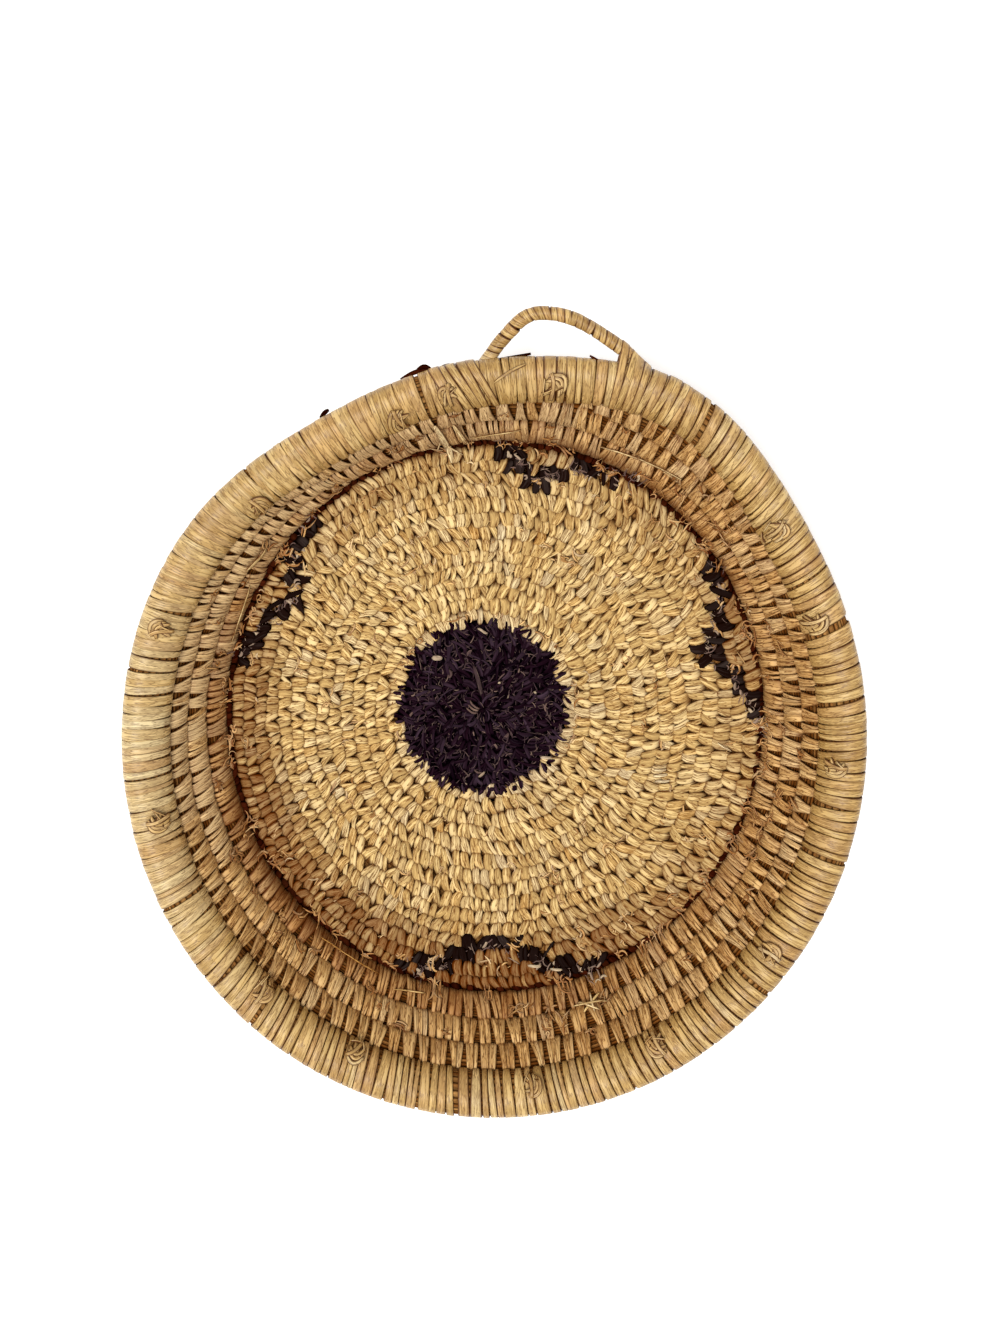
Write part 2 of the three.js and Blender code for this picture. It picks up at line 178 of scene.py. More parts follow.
# Levels of the fibres' noise between which they turn pale or deep, and how near its middle a split shows
PALE_FIBRES = (0.52, 0.7)
DEEP_FIBRES = (0.5, 0.3)
SPLIT_LEVEL = 0.5
SPLIT_WIDTH = 0.055
# How slowly the fibres change along a strip, and how far the noise moves on with a strip's shade
FIBRE_CHANGE = 0.12
STRIP_SHIFT = 97.0
# Weathered patches: their size in mm, the noise levels between which they change, and their light
PATCH_SIZE = 9.0
PATCH_LEVELS = (0.35, 0.7)
PATCH_LIGHT = (0.88, 1.1)


@dataclass(frozen=True)
class Finish:
    """Strip or stem of dry plant fibre, coloured strip by strip."""

    name: str
    shades: tuple[str, str, str]  # Dark, middle and pale colour of single strips
    stain: str  # Colour of stained or dye-touched strips
    edge: str  # Colour of the painted shade in the creases beside a strip, and of its darkest fibres
    roughness: float
    streak: float = 1.0  # Spacing of the fibres across a strip
    relief: float = 0.4  # Height of the fibres
    edging: float = 0.95  # How far the painted crease shade covers a strip's edges, from 0 to 1
    contrast: float = 0.38  # How far the fibres differ in colour, from 0 to 1
    splits: float = 0.55  # How dark the fine splits along a strip are, from 0 to 1
    gloss: float = 0.06  # Strength of the shine
    crease: float = 0.6  # Share of the half breadth from which the painted crease shade sets in

    def material(self) -> bpy.types.Material:
        """Material of the finish.

        Returns:
            The material, made once.
        """
        found = bpy.data.materials.get(self.name)
        if found:
            return found
        material = bpy.data.materials.new(self.name)
        material.use_nodes = True
        material.node_tree.nodes.clear()
        add = partial(add_node, material.node_tree)
        across, flank, along, dive, tone, stain = (
            add("Attribute", {}, attribute_name=name).outputs["Fac"] for name in VALUES
        )
        ramp = add("ValToRGB", {"Fac": tone})
        ramp.color_ramp.elements.new(0.5)
        for element, code in zip(ramp.color_ramp.elements, self.shades):
            element.color = linear(code)
        # Long fibres: noise drawn out along the strip, other on each strip
        shift = add("Math", {0: tone, 1: STRIP_SHIFT}, operation="MULTIPLY").outputs[0]
        sideways = add("Math", {0: across, 1: 1 / self.streak, 2: shift}, operation="MULTIPLY_ADD").outputs[0]
        lengthways = add("Math", {0: along, 1: FIBRE_CHANGE}, operation="MULTIPLY").outputs[0]
        spot = add("CombineXYZ", {0: sideways, 1: lengthways, 2: tone}).outputs[0]
        fibres = add("TexNoise", {"Vector": spot, "Scale": 1.0, "Detail": 3.0}).outputs["Fac"]
        pale = add("MapRange", dict(enumerate((fibres, *PALE_FIBRES, 0.0, self.contrast / 2))))
        deep = add("MapRange", dict(enumerate((fibres, *DEEP_FIBRES, 0.0, self.contrast))))
        # Weathering in patches of a few millimetres
        place = add("TexCoord", {}).outputs["Object"]
        patches = add("TexNoise", {"Vector": place, "Scale": 1 / (PATCH_SIZE * MM), "Detail": 4.0})
        light = add("MapRange", dict(enumerate((patches.outputs["Fac"], *PATCH_LEVELS, *PATCH_LIGHT))))
        # Painted shade in the creases beside the strip and where it dives between its neighbours; its fine
        # splits are dark too
        aside = add("Math", {0: flank}, operation="ABSOLUTE").outputs[0]
        beside = add("MapRange", {0: aside, 1: self.crease, 2: 1.0, 3: 0.0, 4: self.edging}).outputs[0]
        level = add("Math", {0: fibres, 1: SPLIT_LEVEL}, operation="SUBTRACT").outputs[0]
        crack = add("Math", {0: level}, operation="ABSOLUTE").outputs[0]
        split = add("MapRange", {0: crack, 1: 0.0, 2: SPLIT_WIDTH, 3: self.splits, 4: 0.0}).outputs[0]
        creased = add("Math", {0: beside, 1: split}, operation="MAXIMUM")
        tucked = add("Math", {0: dive, 1: self.edging}, operation="MULTIPLY")
        colour = ramp.outputs["Color"]
        for share, over, blend in (
            (pale.outputs[0], linear(self.shades[2]), "MIX"),
            (stain, linear(self.stain), "MIX"),
            (deep.outputs[0], linear(self.edge), "MIX"),
            (1.0, light.outputs[0], "MULTIPLY"),
            (creased.outputs[0], linear(self.edge), "MIX"),
            (tucked.outputs[0], linear(self.edge), "MIX"),
        ):
            layer = add("Mix", {"Factor": share, 6: colour, 7: over}, data_type="RGBA", blend_type=blend)
            colour = layer.outputs[2]
        bump = add("Bump", {"Strength": 1.0, "Distance": self.relief * MM, "Height": fibres})
        face = {"Roughness": self.roughness, "Specular IOR Level": self.gloss, "Normal": bump.outputs[0]}
        shader = add("BsdfPrincipled", {"Base Color": colour, **face})
        add("OutputMaterial", {"Surface": shader.outputs[0]}).is_active_output = True
        return material


# Dry, matt split palm of the base: straw yellow, with brown painted shade in the creases
BASE_PALM = Finish(
    "split_palm_base", ("e6b060", "fbd68c", "ffeabc"), stain="946a40", edge="642c00",
    roughness=0.6, streak=0.8, contrast=0.65, splits=1.0, gloss=0.0,
)
# Broader palm strips of the wall: browner, with a slight gloss
WALL_PALM = Finish(
    "split_palm_wall", ("d29c56", "eec07a", "fbdeaa"), stain="a86c36", edge="5e2800",
    roughness=0.45, streak=0.8, contrast=0.6, splits=1.0, gloss=0.12, crease=0.66,
)
# Smooth outer leaf of the rim and loop: pale and glossy, in flat bands
RIM_PALM = Finish(
    "split_palm_rim", ("bd9450", "dcb46e", "f4dca6"), stain="c8965c", edge="5c2e00",
    roughness=0.4, streak=0.7, contrast=0.5, splits=0.8, gloss=0.4, crease=0.75,
)
# Palm dyed purple-black: the dark middle
DYED_PALM = Finish(
    "purple_black_palm", ("0e0308", "27101b", "503c48"), stain="15131d", edge="050104",
    roughness=0.65, contrast=0.6, gloss=0.0,
)
# Palm dyed brown-black: the chevrons
CHEVRON_PALM = Finish(
    "brown_black_palm", ("100402", "271612", "544a44"), stain="1c1210", edge="150501",
    roughness=0.65, contrast=0.6, gloss=0.0,
)
# Dyed fibre worn grey: loose ends in the dark middle and on the chevrons
FADED_PALM = Finish(
    "faded_dyed_palm", ("463434", "8e7062", "dcc4a0"), stain="4a363a", edge="1c1012",
    roughness=0.6, edging=0.0, gloss=0.05,
)
# Palm dyed maroon, its colours darkened partly as painted shade of the crease: the thin row in the crease
MAROON_PALM = Finish(
    "maroon_dyed_palm", ("1e0502", "340e04", "50200e"), stain="46200e", edge="180400",
    roughness=0.7, contrast=0.6, gloss=0.0,
)
# Bare grass stems of the coils: brown, seen as cross ribs in the gaps, with painted shade in their grooves
GRASS = Finish(
    "grass_core", ("341400", "8a4e1c", "cc9656"), stain="3c2010", edge="200a00",
    roughness=0.8, contrast=0.4, edging=1.0, gloss=0.0, crease=0.4,
)


@dataclass(frozen=True)
class Form:
    """The bowl's surfaces, in millimetres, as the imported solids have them."""

    base_half: Range = (111.5, 117.5)  # Half width and half length of the base
    base_drift: Range = (4.6, -5.6)  # Its middle off the coil's start
    drift_span: Range = (0.1, 0.7)  # Shares of the radius between which the rows move off
    base_radius: float = 114.5  # Mean radius with the row in the crease
    start_radius: float = 4.3  # Radius of the first turn
    fill_radius: float = 111.1  # Radius of the last row
    base_row: float = 5.4  # From row to row of the base
    base_top: float = 5.6
    dyed_turns: float = 6.48
    coil_phase: float = 0.395  # Where the coil starts, in turns
    last_turn: float = 20.42  # Turns of the whole base
    crease_inset: float = 1.0  # Crease inside the base's edge
    stitch_rise: float = 0.7  # Stitches above the base's top
    wall_rows: int = 3
    wall_radius: float = 130.0
    wall_half_depth: float = 4.7  # Half thickness of the wall
    wall_foot: Range = (1.5, 2.0)  # The wall's foot out of the base's edge, and its height
    wall_step_at: float = 64.0  # Where the wall's coil steps up
    wall_step_span: float = 68.0  # Degrees over which the wall has a row less
    wall_wedge_span: float = 20.0  # Degrees over which a row is drawn out
    wall_start: float = 4.5  # Where the wall comes out of the crease, up the slope
    wall_swell: Range = (1.12, 0.25)  # Depth of its stitches in half thicknesses, and gain beside the loop
    wall_lift: float = 0.4  # Loose fibres above that
    rim_half: Range = (139.5, 146.5)  # Half width and half length of the rim's middle line
    rim_drift: Range = (4.2, -9.4)  # Its middle off the coil's start
    rim_radius: float = 146.0  # Mean radius of that line
    rim_height: float = 35.4  # Its height
    rim_section: Range = (10.25, 7.25)  # Half breadth and half thickness of the rim's section
    rim_lean: float = math.radians(32)  # Slant of that section, in radians
    # Bulges of the rim: size, direction and spread
    rim_bells: tuple[tuple[float, float, float], ...] = ((9.5, 61.0, 13.0), (-5.5, 118.0, 14.0))

    def base_point(self, angle: Array, radius: Array, height: Array) -> Array:
        """Points of the base.

        Args:
            angle: Directions from the start of the coil.
            radius: Radii on a base that would be round.
            height: Heights above the ground.

        Returns:
            Points.
        """
        share = radius / self.base_radius
        off = smooth(share, *self.drift_span)
        x = (self.base_drift[0] * off + self.base_half[0] * np.cos(angle)) * share
        y = (self.base_drift[1] * off + self.base_half[1] * np.sin(angle)) * share
        return stacked(x, y, height)

    def rim_point(self, angle: Array, out: Array, up: Array) -> Array:
        """Points beside the middle of the rim.

        Args:
            angle: Directions.
            out: Distances outwards.
            up: Distances upwards.

        Returns:
            Points.
        """
        bulge = 0.0
        for size, at, spread in self.rim_bells:
            away = np.degrees(np.angle(np.exp(1j * (angle - math.radians(at)))))
            bulge = bulge + size * np.exp(-0.5 * (away / spread) ** 2)
        x = self.rim_drift[0] + (self.rim_half[0] + bulge + out) * np.cos(angle)
        y = self.rim_drift[1] + (self.rim_half[1] + bulge + out) * np.sin(angle)
        return stacked(x, y, self.rim_height + up)

    def wall_frame(self, angle: Array) -> tuple[Array, Array, Array, Array]:
        """Slope of the wall.

        Args:
            angle: Directions.

        Returns:
            The foot, the way up, the way in and the breadth of a row, for each direction.
        """
        outward = stacked(np.cos(angle), np.sin(angle), 0.0)
        edge = self.base_point(angle, np.full_like(angle, self.base_radius), self.wall_foot[1])
        foot = edge + outward * self.wall_foot[0]
        up = self.rim_point(angle, 0.0, 0.0) - foot
        length = np.linalg.norm(up, axis=-1)
        up = up / length[..., None]
        rise = np.arcsin(up[..., 2])
        level = up * [1, 1, 0]
        level = level / np.linalg.norm(level, axis=-1, keepdims=True)
        inward = np.array([0, 0, 1]) * np.cos(rise)[..., None] - level * np.sin(rise)[..., None]
        a, b = self.rim_section
        reach = np.hypot(a * np.cos(rise - self.rim_lean), b * np.sin(rise - self.rim_lean))
        return foot, up, inward, (length - reach) / self.wall_rows

    def wall_point(self, angle: Array, climb: Array, depth: Array) -> Array:
        """Points of the wall, by distance up the slope from its foot and in from the wall's middle."""
        foot, up, inward, _ = self.wall_frame(angle)
        return foot + up * climb[..., None] + inward * depth[..., None]

    def wall_steps(self, degrees: Array) -> tuple[Array, Array]:
        """How far a row has run out past the wall's step and the next has come in, from 0 to 1."""
        comes_in = smooth(degrees, self.wall_step_span - self.wall_wedge_span, self.wall_step_span)
        return smooth(degrees, 0, self.wall_wedge_span), comes_in

    def wall_joints(self, turn: Array) -> tuple[Array, Array]:
        """Lower and upper joint of the wall's coil.

        Args:
            turn: Turns from the coil's start.

        Returns:
            Heights of both joints, in rows.
        """
        whole = np.floor(turn)
        runs_out, comes_in = self.wall_steps((turn - whole) * 360)

        def height(row: Array) -> Array:
            """Height of the joint above a row."""
            share = row / (self.wall_rows - 1)
            inside = row + runs_out * share + comes_in * (1 - share)
            return np.where((row < 0) | (row >= self.wall_rows), np.clip(row + 1, 0, self.wall_rows), inside)

        return height(whole - 1), height(whole)

    def inside_point(self, angle: Array, reach: Array, lift: Array) -> Array:
        """Points over the stitches inside the bowl, from the base on to the wall.

        Args:
            angle: Directions.
            reach: Distances from the start of the coil, measured over base and wall.
            lift: Heights above the stitches.

        Returns:
            Points.
        """
        crease = self.base_radius - self.crease_inset
        flat = self.base_point(angle, np.minimum(reach, crease), self.base_top + self.stitch_rise + lift)
        climb = np.maximum(reach - crease, 0) + self.wall_start
        runs_out, comes_in = self.wall_steps(np.degrees(angle - math.radians(self.wall_step_at)) % 360)
        swell = self.wall_swell[0] + self.wall_swell[1] * (runs_out - comes_in)
        slope = self.wall_point(angle, climb, self.wall_half_depth * swell + self.wall_lift + lift)
        return np.where((reach > crease)[..., None], slope, flat)


FORM = Form()


def take_mesh(model: bpy.types.Object) -> tuple[Array, Array]:
    """Mesh of a master, whose object is then removed.

    Args:
        model: The master.

    Returns:
        Its points, and the vertices of each face.
    """
    mesh = model.data
    points = np.array([v.co for v in mesh.vertices])
    faces = np.array([p.vertices for p in mesh.polygons])
    bpy.data.objects.remove(model)
    bpy.data.meshes.remove(mesh)
    return points, faces


class RingMaster:
    """Closed strip, modelled once as a ring and laid round a row for every stitch.

    Attributes:
        station: Step along the strip, for each vertex.
        side: Angle round the strip's section, for each vertex.
        faces: Vertices of each face.
    """

    def __init__(self, stations: int, sides: int = 6) -> None:
        """Models the ring.

        Args:
            stations: Steps along the strip.
            sides: Steps round its section.
        """
        bpy.ops.object.select_all(action="DESELECT")
        bpy.ops.mesh.primitive_torus_add(
            major_segments=stations, minor_segments=sides, major_radius=1.0, minor_radius=0.25
        )
        points, self.faces = take_mesh(bpy.context.object)
        around = np.arctan2(points[:, 1], points[:, 0]) % TURN
        self.station = np.round(around / TURN * stations).astype(int) % stations
        self.side = np.arctan2(points[:, 2], np.hypot(points[:, 0], points[:, 1]) - 1)


class StrandMaster:
    """Open strip with square ends, modelled once and laid along a line for every loose fibre.

    Attributes:
        station: Step along the strip, for each vertex.
        across: Place across the strip, from -1 to 1, for each vertex.
        top: 1 on the outer face and 0 on the inner one, for each vertex.
        faces: Vertices of each face.
    """

    def __init__(self, stations: int) -> None:
        """Models the strip.

        Args:
            stations: Places along the strip.
        """
        bpy.ops.object.select_all(action="DESELECT")
        bpy.ops.mesh.primitive_grid_add(x_subdivisions=2, y_subdivisions=stations - 1, size=2.0)
        bpy.ops.object.mode_set(mode="EDIT")
        bpy.ops.mesh.select_all(action="SELECT")
        bpy.ops.mesh.extrude_region_move(TRANSFORM_OT_translate={"value": (0, 0, 1)})
        bpy.ops.mesh.select_all(action="SELECT")
        bpy.ops.mesh.normals_make_consistent(inside=False)
        bpy.ops.object.mode_set(mode="OBJECT")
        points, self.faces = take_mesh(bpy.context.object)
        self.station = np.round((points[:, 1] + 1) / 2 * (stations - 1)).astype(int)
        self.across = points[:, 0]
        self.top = np.round(points[:, 2])


@dataclass
class Laid:
    """Strips laid in place, ready to become a mesh.

    Attributes:
        points: Vertices of each strip.
        faces: Faces of one strip.
        values: Values of each vertex, by name.
    """

    points: Array
    faces: Array
    values: dict[str, Array]

    def pick(self, chosen: Array) -> "Laid":
        """The strips for which it is chosen."""
        return Laid(self.points[chosen], self.faces, {k: v[chosen] for k, v in self.values.items()})

    def deepen(self, creases: Array | float) -> None:
        """Makes the painted crease shade beside each strip, or beside all, broader by a factor."""
        self.values["flank"] = self.values["flank"] * column(creases)

    def retone(self, darkest: float, span: float) -> None:
        """Moves all shades into a narrower range."""
        self.values["tone"] = darkest + span * self.values["tone"]


def by_vertex(shape: tuple[int, ...], *parts: Array | float) -> dict[str, Array]:
    """Values of each vertex by name: given for each vertex, for each strip as a column, or for all."""
    return {name: np.broadcast_to(part, shape) for name, part in zip(VALUES, parts)}


# How a strip's outer face rounds off, and how far its inner face stands back, both against its thickness
OUTER_ROUND = 0.6
INNER_DEPTH = 0.3


def lay_rings(
    master: RingMaster,
    path: Array,
    half: Array,
    crown: Crown,
    rise: float,
    lean: Array,
    dive: Array,
    place: Place,
    tone: Array,
    stain: Array,
) -> Laid:
    """Strips laid round rows.

    Args:
        master: The ring to lay.
        path: Line of each strip round its row's section: strip, station, (across the row, depth).
        half: Half breadth of each strip at each station.
        crown: How the strips are rounded.
        rise: Thickness of the strips.
        lean: Slant of each strip, as a slope along the row.
        dive: Painted shade at each station where it is tucked under, from 0 to 1.
        place: Gives points from distances along the row, across it and in depth.
        tone: Shade of each strip, from 0 to 1.
        stain: Stain of each strip, from 0 to 1.

    Returns:
        The strips.
    """
    before, after = np.roll(path, 1, 1), np.roll(path, -1, 1)
    ahead = after - before
    normal = np.stack([ahead[..., 1], -ahead[..., 0]], -1)
    normal /= np.linalg.norm(normal, axis=-1, keepdims=True)
    area = (path[..., 0] * after[..., 1] - path[..., 1] * after[..., 0]).sum(1)
    normal *= np.sign(area)[:, None, None]
    step = np.linalg.norm(path - before, axis=-1)
    step[:, 0] = 0
    k = master.station
    cos, sin = np.cos(master.side), np.sin(master.side)
    across = np.sign(cos) * np.abs(cos) ** crown.value
    height = np.where(sin > 0, np.abs(sin) ** OUTER_ROUND, -INNER_DEPTH * np.abs(sin))
    grown = path[:, k] + normal[:, k] * (rise * height)[:, None]
    broad = half[:, k] * across
    sideways = broad + column(lean) * path[:, k, 0]
    along = np.cumsum(step, 1)[:, k]
    values = by_vertex(broad.shape, broad, across, along, dive[k], column(tone), column(stain))
    return Laid(place(sideways, grown[..., 0], grown[..., 1]), master.faces, values)


def lay_strands(
    master: StrandMaster,
    path: Array,
    face: Array,
    half: Array,
    thick: Array | float,
    tone: Array | float,
    stain: Array | float,
) -> Laid:
    """Loose strips laid along lines.

    Args:
        master: The strip to lay.
        path: Line of each strip: strip, station, point.
        face: Ways that the strips' faces look: strip, station, vector.
        half: Half breadth of each strip at each station.
        thick: Thickness of each strip.
        tone: Shade of each strip, from 0 to 1.
        stain: Stain of each strip, from 0 to 1.

    Returns:
        The strips.
    """
    nearly_zero = 1e-9
    ahead = np.gradient(path, axis=1)
    side = np.cross(ahead, face)
    side /= np.linalg.norm(side, axis=-1, keepdims=True) + nearly_zero
    normal = np.cross(side, ahead)
    normal /= np.linalg.norm(normal, axis=-1, keepdims=True) + nearly_zero
    k = master.station
    broad = half[:, k] * master.across
    points = path[:, k] + side[:, k] * broad[..., None]
    points = points + normal[:, k] * (column(thick) * master.top)[..., None]
    step = np.linalg.norm(np.diff(path, axis=1, prepend=path[:, :1]), axis=-1)
    along = np.cumsum(step, 1)[:, k]
    values = by_vertex(broad.shape, broad, master.across, along, 0.0, column(tone), column(stain))
    return Laid(points, master.faces, values)


# How far the shade moves on from stem to stem of a bundle, and the length of its steps for the fibres, in mm
STEM_SHADE = 0.37
STEM_STEP = 2.0


def lay_tube(points: Array, closed: bool) -> Laid:
    """Bundle of stems along a coil.

    Args:
        points: Rings of the bundle, whose sides lie on stems and in grooves by turns: step, side, point.
        closed: True where the coil joins up.

    Returns:
        The bundle, as one strip with its ends closed.
    """
    steps, sides = points.shape[:2]
    index = np.arange(steps * sides).reshape(steps, sides)
    rows = index if closed else index[:-1]
    after = np.roll(index, -1, 0) if closed else index[1:]
    quads = np.stack([rows, np.roll(rows, -1, 1), np.roll(after, -1, 1), after], -1).reshape(-1, 4)
    flat = points.reshape(1, -1, 3)
    # Grooves take the crease colour: painted shade between the stems
    groove = np.tile(np.arange(sides) % 2, steps).astype(float)
    along = np.repeat(np.arange(steps), sides) * STEM_STEP
    stem = np.tile(np.arange(sides) // 2 * STEM_SHADE % 1, steps)
    if not closed:
        ends = np.stack([points[0].mean(0), points[-1].mean(0)])[None]
        flat = np.concatenate([flat, ends], 1)
        groove, along, stem = np.append(groove, [1, 1]), np.append(along, [0, 0]), np.append(stem, [0, 0])
        first, last = steps * sides, steps * sides + 1
        beside = np.roll(index, -1, 1)
        caps = [[first, b, a, a] for a, b in zip(index[0], beside[0])]
        caps += [[last, a, b, b] for a, b in zip(index[-1], beside[-1])]
        quads = np.concatenate([quads, np.array(caps)])
    return Laid(flat, quads, by_vertex(flat.shape[:2], 0.0, groove, along, 0.0, stem, 0.0))


@dataclass(frozen=True)
class Bundle:
    """Section of a bundle of stems."""

    stems: int  # Stems round the section
    groove: float  # Depth of the grooves between them
    steps: int  # Steps along the bundle, in a turn of the coil

    def around(self) -> tuple[Array, Array]:
        """Angles round the section, and how far each point lies inside the bundle's outline."""
        points = np.arange(2 * self.stems)
        return points / len(points) * TURN, self.groove * (points % 2)

    def turn(self) -> Array:
        """Directions of the steps of one turn."""
        return np.arange(self.steps) / self.steps * TURN


def facing_out(points: Array, faces: Array) -> Array:
    """Faces of a closed strip, turned outwards.

    Args:
        points: Its vertices.
        faces: Vertices of each face.

    Returns:
        The faces.
    """
    a, b, c, d = ((points - points.mean(0))[faces[:, i]] for i in range(4))
    volume = (a * np.cross(b, c)).sum() + (a * np.cross(c, d)).sum()
    return faces if volume > 0 else faces[:, ::-1]


def add_piece(name: str, laid: Sequence[Laid], finish: Finish, slot: Slot, nodes: Sequence[str] = ()) -> None:
    """Piece of the bowl, made of strips that are in place, which rides on the bowl's body.

    Args:
        name: Name of the piece.
        laid: Its strips, in millimetres.
        finish: Its finish.
        slot: Material slot of the record; not used.
        nodes: Solids that it stands for.
    """
    points, faces, start = [], [], 0
    for part in laid:
        count, size = part.points.shape[:2]
        steps = start + np.arange(count)[:, None, None] * size
        faces.append((facing_out(part.points[0], part.faces)[None] + steps).reshape(-1, 4))
        points.append(part.points.reshape(-1, 3))
        start += count * size
    corners = np.concatenate(points) * MM
    quads = np.concatenate(faces)
    mesh = bpy.data.meshes.new(name)
    mesh.from_pydata(corners.tolist(), [], [list(dict.fromkeys(quad)) for quad in quads.tolist()])
    mesh.shade_smooth()
    for key in VALUES:
        layer = mesh.attributes.new(key, "FLOAT", "POINT")
        value = np.concatenate([part.values[key].reshape(-1) for part in laid])
        layer.data.foreach_set("value", value.astype(np.float32))
    mesh.materials.append(finish.material())
    piece = bpy.data.objects.new(name, mesh)
    bpy.context.scene.collection.objects.link(piece)
    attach(piece, BODY)
    if nodes:
        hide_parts(*nodes)
    LOG.info("%s: %d strips, %d faces", name, sum(len(p.points) for p in laid), len(quads))


# Line of a base stitch round its row: across the row and height in mm, share of breadth, painted shade where
# tucked.
# Its inner end lies over the row before and dives into it, and its outer end runs under the next row.
BASE_STITCH = np.array(
    [
        (2.9, 3.6, 0.78, 1.0), (2.0, 4.5, 0.93, 0.7),
        (0.7, 5.4, 1.0, 0.05), (-0.8, 5.95, 1.02, 0.0),
        (-2.1, 6.25, 1.0, 0.0), (-3.0, 6.15, 0.87, 0.05),
        (-3.65, 5.2, 0.62, 0.85), (-3.3, 3.0, 0.45, 1.0),
        (-2.3, 0.9, 0.8, 0.3), (0.0, 0.45, 0.95, 0.0),
        (2.3, 0.9, 0.8, 0.3), (2.9, 2.3, 0.6, 1.0),
    ]
)

# Line of a wall stitch in shares of its row's half sizes. Its lower end is broad and comes out from
# under the row below, and its upper end is narrow and lies over the row above.
# Columns: across the row, depth, share of breadth, and painted shade where the stitch is tucked
WALL_STITCH = np.array(
    [
        (-1.0, 0.3, 1.0, 0.9), (-0.8, 0.68, 1.04, 0.5),
        (-0.45, 0.94, 1.04, 0.0), (0.0, 1.07, 1.02, 0.0),
        (0.45, 1.12, 1.0, 0.0), (0.85, 1.07, 0.97, 0.0),
        (1.12, 0.92, 0.9, 0.1), (1.22, 0.5, 0.75, 0.7),
        (1.0, -0.1, 0.8, 1.0), (0.82, -0.7, 0.9, 0.3),
        (0.3, -1.03, 1.0, 0.0), (-0.3, -1.03, 1.0, 0.0),
        (-0.82, -0.7, 1.0, 0.3), (-1.0, -0.2, 1.0, 1.0),
    ]
)

# Chevrons: lines on the base, as directions in degrees and radii, from the edge to the apex and back
CHEVRONS = (
    ((89.6, 113), (84.5, 105), (80, 98.5), (76, 102), (70.9, 106), (65, 110.5), (55.7, 115)),
    ((131.8, 113.6), (142.6, 106.8), (149.6, 97), (152, 100), (158.9, 104.4), (166.2, 110.3)),
    ((247.9, 112.5), (254, 108), (260.2, 103), (269.9, 93.3), (279, 100.9), (287.1, 109), (294, 113)),
    ((35.9, 112.1), (27.9, 105.7), (22, 99), (17, 93.5), (8.6, 102.3), (1.1, 110.6), (-3, 113.6)),
)


def chevron_places(angle: Array, radius: Array) -> tuple[Array, Array]:
    """Where stitches lie to the chevrons.

    Args:
        angle: Directions of the stitches.
        radius: Radii of the stitches.

    Returns:
        Distances to the nearest chevron line, and True for stitches between a chevron and the edge.
    """
    here = FORM.base_point(angle, radius, 0.0)[:, :2]
    nearest = np.full(len(angle), np.inf)
    within = np.zeros(len(angle), bool)
    for line in CHEVRONS:
        degrees, reach = np.array(line, float).T
        turn = np.radians(degrees)
        ends = FORM.base_point(turn, reach, 0.0)[:, :2]
        for a, b in zip(ends[:-1], ends[1:]):
            share = np.clip(((here - a) @ (b - a)) / ((b - a) @ (b - a)), 0, 1)
            nearest = np.minimum(nearest, np.linalg.norm(here - a - share[:, None] * (b - a), axis=1))
        away = np.angle(np.exp(1j * (angle - turn.mean())))
        order = np.argsort(turn)
        limit = np.interp(away, turn[order] - turn.mean(), reach[order], left=np.inf, right=np.inf)
        within |= radius > limit
    return nearest, within


@dataclass(frozen=True)
class Sewing:
    """How a stretch of the base is sewn."""

    breadth: float  # Usual breadth of a stitch
    stretch: float  # Length of a stitch, against the usual one
    wild: float  # How irregular the stitches are
    spread: float  # How far their shades vary
    dyed: bool = False  # True in the dyed middle


